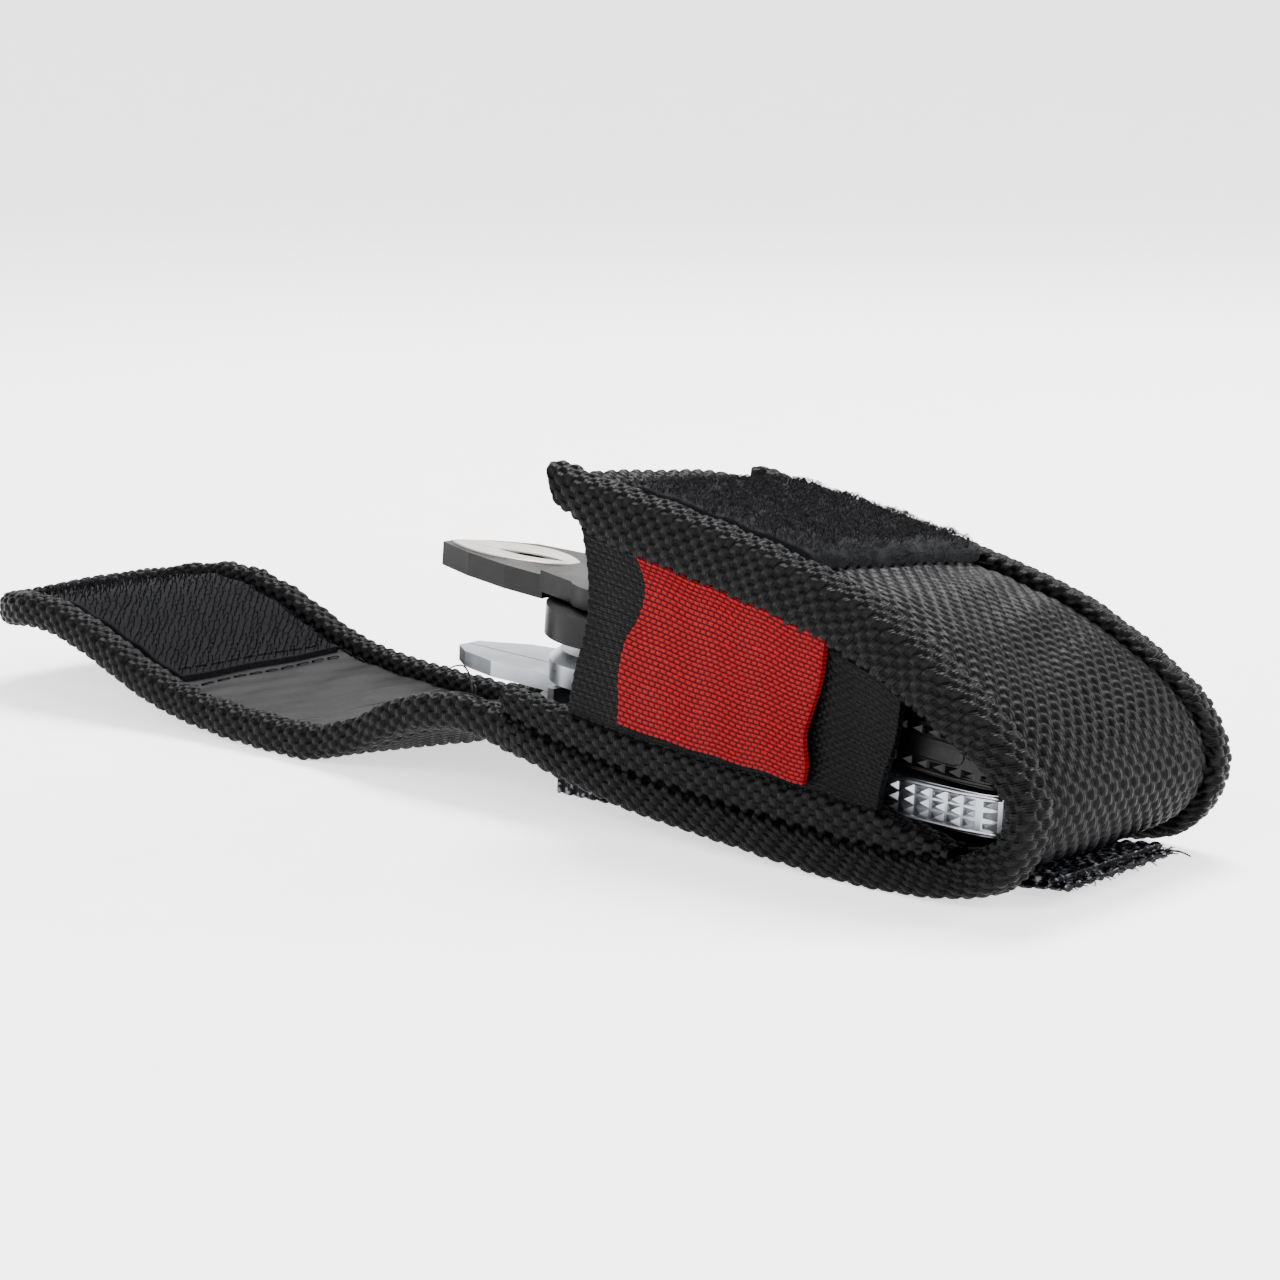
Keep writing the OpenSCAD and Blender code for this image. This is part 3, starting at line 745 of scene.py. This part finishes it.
def loop_patch():
    """Fuzzy loop pile on the front, from the mouth tape down to its sewn lower edge."""
    line, s = evenly(0.4, catmull(side_line("loop_patch", (29, 33.4), (15, 36), (7, 37.1)), 6))
    if line[0, 0] < line[-1, 0]:
        line = line[::-1]
    wide = 30.4
    u, v, t = rounded_section(wide, 1.25, 0.3, (72, 3, 12, 3), corner=3)
    y = u - wide / 2
    raised = 0.9 * (y / SEAM_Y) ** 4
    lumps = 0.05 * (np.sin(1.3 * s[:, None] + 0.9 * y) + np.sin(1.9 * y - 0.7 * s[:, None])
                    + rng.normal(0, 0.8, (len(s), y.shape[1])))
    made = woven(swept(line, y, v - 1.25 + raised + lumps * (v < 0.7)), s, t, smooth_weave)
    finish_piece(tube("front_loop_patch", made, FLEECE), "loop_fleece", "pouch", "loop_patch")
    paths = settle(nap(line, s, wide - 0.2, 1.15, 5800, 0.7))
    paths[..., 2] -= 0.9 * (paths[..., 1] / SEAM_Y) ** 4
    finish_piece(fibres("front_loop_nap", paths, 0.055, FLEECE), "loop_fleece", "pouch")


def flat_layer(name, x0, x1, z0, z1, wide, weave, material, step=0.25, rise=0.0):
    """A flat strip of webbing or tape lying along X."""
    x = np.arange(x0, x1 + step / 2, step)
    u, v, t = rounded_section(wide, z1 - z0, 0.3, (int(wide / step), 2, int(wide / step), 2), corner=2)
    lift_up = rise * ease((x - 56) / 14)[:, None]
    grid = joined(x[:, None], u - wide / 2, z0 + v + lift_up)
    return tube(name, woven(grid, x, t, weave, relax=False), material)


def box_mm(node):
    low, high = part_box(node)
    return [c / MM for c in low], [c / MM for c in high]


STRAP_TRIM, STRAP_RISE = 1.6, 1.3


def back_parts():
    """The belt side: the strap's sewn foot, the strap, its hook tape and the loop strip it meets."""
    low, high = box_mm("belt_strap")
    strap = flat_layer("belt_strap_webbing", low[0], high[0] - STRAP_TRIM, low[2] + 0.12, high[2] - 0.06,
                       high[1] - low[1], webbing_weave, WEBBING, rise=STRAP_RISE)
    finish_piece(strap, "webbing", "belt_strap", "belt_strap")
    low, high = box_mm("strap_hook_tape")
    hooks = flat_layer("belt_strap_hooks", low[0], high[0] - STRAP_TRIM, low[2] + 0.02, high[2] - 0.1,
                       high[1] - low[1] - 0.3, webbing_weave, WEBBING, rise=STRAP_RISE)
    finish_piece(hooks, "hook_tape", "belt_strap", "strap_hook_tape")
    low, high = box_mm("strap_foot")
    foot = flat_layer("strap_foot_fold", low[0], high[0], low[2] + 0.12, high[2] - 0.25, high[1] - low[1],
                      webbing_weave, WEBBING)
    finish_piece(foot, "webbing", "pouch", "strap_foot")
    low, high = box_mm("back_loop_patch")
    loops = flat_layer("back_loop_strip", low[0], high[0], low[2], high[2] - 0.3, high[1] - low[1],
                       smooth_weave, FLEECE)
    finish_piece(loops, "loop_fleece", "pouch", "back_loop_patch")


def strap_fray():
    """Loose yarn ends at the strap's cut end, and two longer strays."""
    low, high = box_mm("belt_strap")
    k = np.linspace(0, 1, 6)
    paths = []
    for _ in range(90):
        y, z = rng.uniform(low[1], high[1]), rng.uniform(1.4, 2.6)
        reach = rng.uniform(0.5, 1.6)
        drift = rng.normal(0, 0.35, 2)
        paths.append(np.column_stack([high[0] - 2.2 + reach * k * (1 if z < 2.0 else 0.4),
                                      y + drift[0] * k ** 2, z + drift[1] * k ** 2]))
    finish_piece(fibres("strap_fray", paths, 0.09, WEBBING, 4), "webbing", "belt_strap")
    strays = [np.column_stack([high[0] - 2.1 + 3.2 * k, 9 + 0.8 * k, 1.7 + 0.5 * np.sin(3 * k)]),
              np.column_stack([high[0] - 2.1 + 2.2 * k, 7 - 0.8 * k, 2.1 + 0.5 * k])]
    finish_piece(fibres("strap_stray_yarns", strays, 0.16, WEBBING, 5), "webbing", "belt_strap")


def pouch():
    body_panel()
    body_lining()
    body_binding(-1, "right_edge_tape", "body_binding_right")
    body_binding(1, "left_edge_tape", "body_binding_left")
    mouth_binding()
    back_liner()
    liner_binding(-1, "right_liner_tape", "liner_binding_right")
    liner_binding(1, "left_liner_tape", "liner_binding_left")
    elastic(-1, "right_elastic", "elastic_right")
    elastic(1, "left_elastic", "elastic_left")
    red_tab()
    loop_patch()
    back_parts()
    strap_fray()


# ---------------------------------------------------------------- the flap

FLAP_LINE = underside(["flap_root_panel", "flap_mid_panel", "flap_tip_panel", "flap_end_panel"])
FOLDS = {name: joints[name]["pos_m"][0] / MM for name in
         ("flap_hinge", "flap_fold_low", "flap_fold_top", "flap_fold_end")}
FLAP_TIP = float(FLAP_LINE[0, 0])
TIP_R = 16.0
CUTS = [-1.0, -21.0, -49.0, -84.0, FLAP_TIP]
BENDS = [("pouch", "flap_root", FOLDS["flap_hinge"] + 1.5, FOLDS["flap_hinge"] - 2.5),
         ("flap_root", "flap_mid", FOLDS["flap_fold_low"] + 3.5, FOLDS["flap_fold_low"] - 3.5),
         ("flap_mid", "flap_tip", FOLDS["flap_fold_top"] + 3.5, FOLDS["flap_fold_top"] - 3.5),
         ("flap_tip", "flap_end", FOLDS["flap_fold_end"] + 2.5, FOLDS["flap_fold_end"] - 2.5)]


def flap_centre(step):
    """Underside of the flap in the side view, from inside the mouth to the tip."""
    line = catmull(FLAP_LINE[::-1], 4)
    inside = np.array([[CUTS[0], line[0, 1]]])
    return evenly(step, np.vstack([inside, line]))


def flap_height(line, x):
    """Height of the flap's underside at x."""
    order = np.argsort(line[:, 0])
    return np.interp(x, line[order, 0], line[order, 1])


def cut_pieces(name, made, x, material, slot, part=None):
    """Splits a flap grid, laid from the mouth to the tip, at the cuts. Neighbours share the ring at their
    cut; each piece keeps its place, with its transform baked into its mesh."""
    ends = [int(np.argmin(np.abs(x - cut))) for cut in CUTS[:-1]] + [len(x) - 1]
    for k, (parent, child, start, end) in enumerate(BENDS):
        obj = tube(name + "_" + str(k + 1), made, material, ends[k], ends[k + 1] + 1)
        solids = [child + part] if part else []
        finish_piece(obj, slot, parent, *solids, bend=(child, start, end))


def tip_half_width(x, inset):
    """Half the flap's width at x, with its rounded corners, less an inset."""
    r = TIP_R - inset
    into = np.clip(FLAP_TIP + TIP_R - x, 0, r)
    return HALF_W - inset - r + np.sqrt(np.maximum(r * r - into * into, 0.01))


def flap_panel():
    line, s = flap_centre(NYLON_STEP)
    keep = line[:, 0] > FLAP_TIP + 3.9
    line, s = line[keep], s[keep]
    half = tip_half_width(line[:, 0], 3.6)
    u, v, _ = rounded_section(2 * half, FLAP_T, 0.4, (150, 3, 26, 3), corner=2)
    y = u - half[:, None]
    # the line runs towards -X, so its left is down: the outer face is under the flap
    under = v < FLAP_T / 2
    quilt = 0.10 * np.sin(0.55 * s[:, None] + 0.3 * y) * np.sin(0.4 * y + 0.6)
    grid = swept(line, y, -(v + quilt * (v > FLAP_T / 2)))
    made = woven(grid, s, y + 20, nylon_weave, mask=np.where(under, 1.0, 0.0))
    cut_pieces("flap_cloth", made, line[:, 0], NYLON, "ballistic_nylon", "_panel")


def flap_lining():
    """The smooth inner face of the flap, with soft creases across it."""
    line, s = flap_centre(0.7)
    keep = line[:, 0] > FLAP_TIP + 4.2
    line, s = line[keep], s[keep]
    half = tip_half_width(line[:, 0], 3.9)
    u, v, _ = rounded_section(2 * half, 0.35, 0.1, (40, 2, 30, 2), corner=2)
    y = u - half[:, None]
    crease = (0.14 * np.sin(0.75 * s[:, None] + 0.6 * np.sin(0.3 * y)) * ease((line[:, :1] + 70) / 30)
              + 0.05 * np.sin(1.9 * s[:, None] + 0.2 * y))
    grid = swept(line, y, -(v + 2.12 + crease))
    made = woven(grid, s, y, smooth_weave)
    cut_pieces("flap_inner_face", made, line[:, 0], LINING, "lining")


def flap_binding():
    """Tape round the flap's three free edges, one length laid along a U in plan."""
    line, _ = flap_centre(0.5)
    inset = 1.9
    r = TIP_R - inset
    turn = np.linspace(0, np.pi / 2, 40)
    straight = np.arange(CUTS[0], FLAP_TIP + TIP_R, -0.5)
    right = np.column_stack([straight, np.full(len(straight), -(HALF_W - inset))])
    corner = np.column_stack([FLAP_TIP + TIP_R - r * np.sin(turn), -(HALF_W - TIP_R + r * np.cos(turn))])
    half = np.vstack([right, corner])
    plan = np.vstack([half, half[::-1] * [1, -1]])
    plan, s = evenly(TAPE_STEP, plan)
    order = np.argsort(line[:, 0])
    z = flap_height(line, plan[:, 0])
    slope = np.interp(plan[:, 0], line[order, 0], np.gradient(line[order, 1], line[order, 0]))
    d = np.gradient(plan, axis=0)
    d /= np.linalg.norm(d, axis=1)[:, None]
    outward = np.column_stack([d[:, 1], -d[:, 0]])
    if (outward[0] * [0, -1]).sum() < 0:
        outward = -outward
    up = np.column_stack([-slope, np.zeros(len(s)), np.ones(len(s))])
    up /= np.linalg.norm(up, axis=1)[:, None]
    u, v, t = rounded_section(TAPE_W, 4.2, 1.45, (10, 10, 12, 6), corner=7)
    across = u - 2.1
    tall = v + 0.05
    grid = np.stack([plan[:, :1] + outward[:, :1] * across + up[:, :1] * tall,
                     plan[:, 1:] + outward[:, 1:] * across,
                     z[:, None] + up[:, 2:] * tall], axis=-1)
    made = woven(grid, s, t, tape_weave)
    middle = len(s) // 2
    right = tuple(a[:middle + 1] for a in made)
    left = tuple(a[middle:][::-1] for a in made)
    cut_pieces("flap_tape_right", right, plan[:middle + 1, 0], TAPE, "binding_tape", "_binding")
    cut_pieces("flap_tape_left", left, plan[middle:, 0][::-1], TAPE, "binding_tape")


HOOK_X0, HOOK_X1, HOOK_HALF = -70.0, -112.0, 14.0
HOOK_CUT, HOOK_PITCH = -96.0, 1.15


def hook_half_width(x):
    """Half width of the hook patch, whose far corners are cut off."""
    return np.interp(x, [HOOK_X1, HOOK_X1 + 10, 0], [7.0, HOOK_HALF, HOOK_HALF])


def hook_patch():
    line, s = flap_centre(0.45)
    keep = (line[:, 0] < HOOK_X0) & (line[:, 0] > HOOK_X1)
    line, s = line[keep], s[keep]
    half = hook_half_width(line[:, 0])
    u, v, _ = rounded_section(2 * half, 0.8, 0.3, (50, 2, 30, 2), corner=3)
    y = u - half[:, None]
    made = woven(swept(line, y, -(v + 2.45)), s, y, smooth_weave)
    cut = int(np.argmin(np.abs(line[:, 0] - HOOK_CUT)))
    finish_piece(tube("hook_patch_main", made, HOOKS, 0, cut + 1), "hook_tape", "flap_tip", "hook_patch")
    finish_piece(tube("hook_patch_tip", made, HOOKS, cut), "hook_tape", "flap_tip", "hook_patch_end",
                 bend=BENDS[3][1:])
    hooks(line, s)


def hooks(line, s):
    """Rows of small bent hooks that stand on the patch."""
    n = left_normals(line)
    main, tip = [], []
    along = s - s[0]
    for at in np.arange(0.6, along[-1] - 0.4, HOOK_PITCH):
        x = np.interp(at, along, line[:, 0])
        z = np.interp(at, along, line[:, 1])
        normal = np.array([np.interp(at, along, n[:, 0]), 0, np.interp(at, along, n[:, 1])])
        foot = np.array([x, 0, z]) - normal * 3.2
        wide = hook_half_width(x) - 0.7
        for y in np.arange(-wide, wide, HOOK_PITCH):
            lean = rng.choice([-1, 1]) * rng.uniform(0.6, 1.0)
            k = np.linspace(0, 1, 6)[:, None]
            path = (foot + [0, y + rng.normal(0, 0.12), 0] - normal * 1.0 * np.sin(np.pi * 0.75 * k)
                    + np.array([0.25, 0.55 * lean, 0]) * k)
            (main if x > HOOK_CUT else tip).append(path)
    finish_piece(fibres("hooks_main", settle(np.array(main)), 0.1, HOOKS, 4), "hook_tape", "flap_tip")
    finish_piece(fibres("hooks_tip", settle(np.array(tip)), 0.1, HOOKS, 4), "hook_tape", "flap_tip",
                 bend=BENDS[3][1:])


def flap():
    flap_panel()
    flap_lining()
    flap_binding()
    hook_patch()


# ---------------------------------------------------------------- stitching and stray threads

SEAM_ROW_Y, SEAM_ROW_HIGH = 14.9, 2.75


def stitch_paths(points, length=2.1, skip=0.7, sink=0.12):
    """Short raised stitches along a line of points in mm."""
    s = lengths(points)
    starts = np.arange(0.3, s[-1] - length, length + skip)
    paths = []
    for a in starts:
        at = a + np.linspace(0, length, 6)
        path = np.column_stack([np.interp(at, s, points[:, k]) for k in range(3)])
        path[:, 2] += 0.16 * np.sin(np.linspace(0, np.pi, 6)) - sink
        paths.append(path)
    return paths


def stitching():
    """Seams beside the tapes, across the flap and round the hook patch."""
    line, _ = flap_centre(0.5)

    def on_flap(x0, x1, y0, y1, high):
        k = np.linspace(0, 1, 60)
        x = x0 + (x1 - x0) * k
        return np.column_stack([x, y0 + (y1 - y0) * k, flap_height(line, x) + high])

    def beside_tapes(x0, x1):
        return [path for side in (-1, 1) for path in stitch_paths(
            on_flap(x0, x1, side * SEAM_ROW_Y, side * SEAM_ROW_Y, SEAM_ROW_HIGH))]

    rows = beside_tapes(-64.5, -98.5)
    rows += stitch_paths(on_flap(HOOK_X0 - 1.0, HOOK_X0 - 1.0, -13.4, 13.4, 3.5))
    rows += stitch_paths(on_flap(HOOK_X0 + 2.4, HOOK_X0 + 2.4, -15, 15, SEAM_ROW_HIGH))
    for body, paths in (("flap_tip", rows), ("flap_root", beside_tapes(-10, -33))):
        finish_piece(fibres("stitches_" + body, settle(np.array(paths)), 0.16, THREAD, 5), "thread", body)
    low = np.array([[-3.4, y, 8.4] for y in np.linspace(-15.5, 15.5, 40)])
    rows = stitch_paths(low) + stitch_paths(low + [1.4, 0, 0])
    finish_piece(fibres("hinge_stitches", settle(np.array(rows)), 0.18, THREAD, 5), "thread", "pouch",
                 "hinge_bartacks")


def loose_threads():
    """A few untrimmed thread ends at the hinge."""
    k = np.linspace(0, 1, 12)
    ends = [np.column_stack([-12 - 7 * k, -16.5 + 2.5 * np.sin(2.4 * k), 12.0 + 2.6 * np.sin(2.6 * k)]),
            np.column_stack([-9 - 3 * k, -17.2 - 1.6 * k, 11.6 + 2.4 * k - 1.5 * k ** 2]),
            np.column_stack([-15 - 4 * k ** 2, -13.5 + 3 * k, 9.6 + 2.2 * np.sin(3 * k)])]
    finish_piece(fibres("loose_hinge_threads", ends, 0.14, THREAD, 5), "thread", "flap_root")


# ---------------------------------------------------------------- the tools

def tool_place(joint):
    """Matrix from a tool's own plane, in mm about its bolt, to the row frame in metres."""
    j = joints[joint]
    z = Vector(j["axis"]).normalized()
    y = Vector((0, 1, 0))
    x = y.cross(z).normalized()
    turn = Matrix((x, y, z)).transposed().to_4x4()
    return Matrix.Translation(Vector(j["pos_m"])) @ turn @ Matrix.Scale(MM, 4)


def in_tool(obj, place):
    obj.data.transform(Matrix.Scale(1 / MM, 4))
    obj.data.transform(place)
    return obj


def metal(node, material, bevel=0.22):
    obj = cad[node]
    obj.data.materials.clear()
    obj.data.materials.append(material)
    obj.data.polygons.foreach_set("use_smooth", [True] * len(obj.data.polygons))
    obj.data.set_sharp_from_angle(angle=math.radians(32))
    soften = obj.modifiers.new("softened_edges", "BEVEL")
    soften.width, soften.segments, soften.limit_method = bevel * MM, 2, "ANGLE"
    soften.angle_limit = math.radians(40)
    soften.harden_normals = True


def stacked_rings(n):
    """Faces of a closed solid made of three rings of n points, one above the other."""
    walls = [[r * n + i, r * n + (i + 1) % n, (r + 1) * n + (i + 1) % n, (r + 1) * n + i]
             for r in range(2) for i in range(n)]
    return walls + [list(range(n))[::-1], list(range(2 * n, 3 * n))]


def plate_piece(name, outline, low, high, material, chamfer=0.18):
    """A flat plate with chamfered upper rim, from its outline in a tool's plane."""
    p = np.asarray(outline, float)
    middle = p.mean(0)
    inner = middle + (p - middle) * (1 - chamfer / np.abs(p - middle).max() * 1.4)
    n = len(p)
    rings = [np.column_stack([p, np.full(n, low)]), np.column_stack([p, np.full(n, high - chamfer)]),
             np.column_stack([inner, np.full(n, high)])]
    obj = piece_mesh(name, np.vstack(rings), stacked_rings(n), material, smooth=False)
    bm = bmesh.new()
    bm.from_mesh(obj.data)
    bmesh.ops.recalc_face_normals(bm, faces=bm.faces)
    bm.to_mesh(obj.data)
    bm.free()
    return obj


def jaw_faces():
    """The ground, lens-shaped faces on top of the pump pliers' jaws, one on each half."""
    place = tool_place("pump_open")
    bolt = np.array(joints["pump_open"]["pos_m"][:2]) / MM
    slope = math.tan(math.radians(13.4))
    x = np.linspace(-34.4, -16.6, 30)
    middle = 2.4 + (x + 35) * slope
    share = (x - x[0]) / (x[-1] - x[0])
    spread = np.sin(np.pi * share) ** 0.75
    slit = 0.85 * np.clip(np.sin(np.pi * (x + 28.4) / 9.6), 0, 1) * ((x > -28.4) & (x < -18.8))
    for side, reach, name, body in ((-1, 3.1, "near_jaw_face", "pump_slotted"),
                                    (1, 4.6, "far_jaw_face", "pump_inner")):
        inner = np.column_stack([x, middle + side * (0.12 + slit)])
        outer = np.column_stack([x, middle + side * (0.25 + reach * spread)])
        outline = np.vstack([inner, outer[::-1]]) - bolt
        obj = in_tool(plate_piece(name, outline, 2.1, 2.42, POLISHED, 0.12), place)
        finish_piece(obj, "polished_steel", body)


FACE_X = [24, 34, 44, 52, 58, 62.4]
FACE_Y = [-13.9, -13.97, -14.0, -13.87, -13.6, -12.6]
PLATE_END, PLATE_MIDDLE = 58.4, 41
PYRAMID_PITCH = 2.0


def grip_face(prefix, joint, body, half, plate_half, material, rows):
    """What is forged into a handle's outer face: raised rims, a blank pill-shaped plate and rows of
    pyramids. rows gives the lowest and highest z of each. Places are [x, out, z] in the tool's plane,
    about its bolt."""
    place = tool_place(joint)
    bolt = np.array(joints[joint]["pos_m"][:2]) / MM

    def out(x):
        return np.interp(x, FACE_X, FACE_Y) - bolt[1]

    def handle_piece(obj):
        finish_piece(in_tool(obj, place), material_slot(material), body)

    x = np.linspace(FACE_X[0], FACE_X[-1], 40)
    for name, z in (("upper", half - 0.33), ("lower", -half + 0.33)):
        path = np.column_stack([x - bolt[0], out(x) - 0.05, np.full(len(x), z)])
        handle_piece(fibres(prefix + "_rim_" + name, [path], 0.42, material, 8))
    points, faces = [], []
    for z0, z1 in rows:
        shift = PYRAMID_PITCH / 2 if (round(z0 * 10) % 2) else 0
        cz, a, b = (z0 + z1) / 2, PYRAMID_PITCH / 2 * 0.98, (z1 - z0) / 2 * 0.98
        for cx in np.arange(FACE_X[0] + 1, FACE_X[-1] - 0.6, PYRAMID_PITCH) + shift:
            base = len(points)
            points += [(cx + i * a - bolt[0], out(cx + i * a) + 0.06, cz + j * b)
                       for i, j in ((-1, -1), (1, -1), (1, 1), (-1, 1))]
            points.append((cx - bolt[0], out(cx) - 0.5, cz))
            faces += [[base, base + 1, base + 4], [base + 1, base + 2, base + 4],
                      [base + 2, base + 3, base + 4], [base + 3, base, base + 4],
                      [base + 3, base + 2, base + 1, base]]
    handle_piece(piece_mesh(prefix + "_knurl", points, faces, material, smooth=False))
    if plate_half:
        turn = np.linspace(-np.pi / 2, np.pi / 2, 12)
        r = plate_half
        pill = [(PLATE_END - r + r * math.cos(a), r * math.sin(a)) for a in turn]
        pill += [(FACE_X[0] + r - r * math.cos(a), -r * math.sin(a)) for a in turn]
        points = []
        for along, high, narrow in ((1, 0.3, 1), (1, -0.22, 1), (0.985, -0.34, 0.86)):
            points += [(PLATE_MIDDLE - bolt[0] + (px - PLATE_MIDDLE) * along, out(px) + high, pz * narrow)
                       for px, pz in pill]
        faces = stacked_rings(len(pill))
        handle_piece(piece_mesh(prefix + "_blank_plate", points, faces, material, smooth=False))


def material_slot(material):
    return {BLACK_STEEL: "black_steel", POLISHED: "polished_steel", CHROME: "chrome"}[material]


def tools():
    for node in ("pump_inner_half", "pump_slotted_half", "pump_bolt_washer", "pump_button",
                 "wrench_button"):
        metal(node, BLACK_STEEL)
    for node in ("wrench_frame_half", "wrench_lever_half", "wrench_sliding_jaw", "wrench_bolt_washer"):
        metal(node, CHROME)
    for node in ("pump_bolt", "pump_button_spring", "wrench_bolt", "wrench_drive_pin",
                 "wrench_button_spring"):
        metal(node, POLISHED, 0.05)
    jaw_faces()
    grip_face("pump_grip", "pump_open", "pump_inner", 2.9, 1.25, BLACK_STEEL,
              [(-2.35, -1.3), (1.3, 2.35)])
    grip_face("wrench_grip", "wrench_open", "wrench_frame", 2.3, 0, CHROME,
              [(-1.8, -0.6), (-0.6, 0.6), (0.6, 1.8)])


# ---------------------------------------------------------------- the stage

def stage():
    """A white paper bowl: flat under the object, curving up far behind it all round."""
    low = min(v.co.z for node in ("belt_strap", "body_binding_left", "body_binding_right")
              for v in cad[node].data.vertices) - 0.00005
    flat, curve = 1.1, 0.7
    profile = [(flat * k / 12, 0.0) for k in range(13)]
    profile += [(flat + curve * math.sin(a), curve * (1 - math.cos(a)))
                for a in np.linspace(0, math.pi / 2, 17)[1:]]
    turns = 96
    points = [(r * math.cos(math.tau * i / turns), r * math.sin(math.tau * i / turns), z + low)
              for r, z in profile[1:] for i in range(turns)]
    points.append((0, 0, low))
    faces = [[r * turns + i, (r + 1) * turns + i, (r + 1) * turns + (i + 1) % turns,
              r * turns + (i + 1) % turns] for r in range(len(profile) - 2) for i in range(turns)]
    faces += [[len(points) - 1, i, (i + 1) % turns] for i in range(turns)]
    mesh = bpy.data.meshes.new("paper_bowl")
    mesh.from_pydata(points, [], faces)
    mesh.materials.append(PAPER)
    mesh.polygons.foreach_set("use_smooth", [True] * len(mesh.polygons))
    bowl = bpy.data.objects.new("paper_bowl", mesh)
    bpy.context.scene.collection.objects.link(bowl)


set_camera()
set_lights()
stage()
pouch()
flap()
stitching()
loose_threads()
tools()
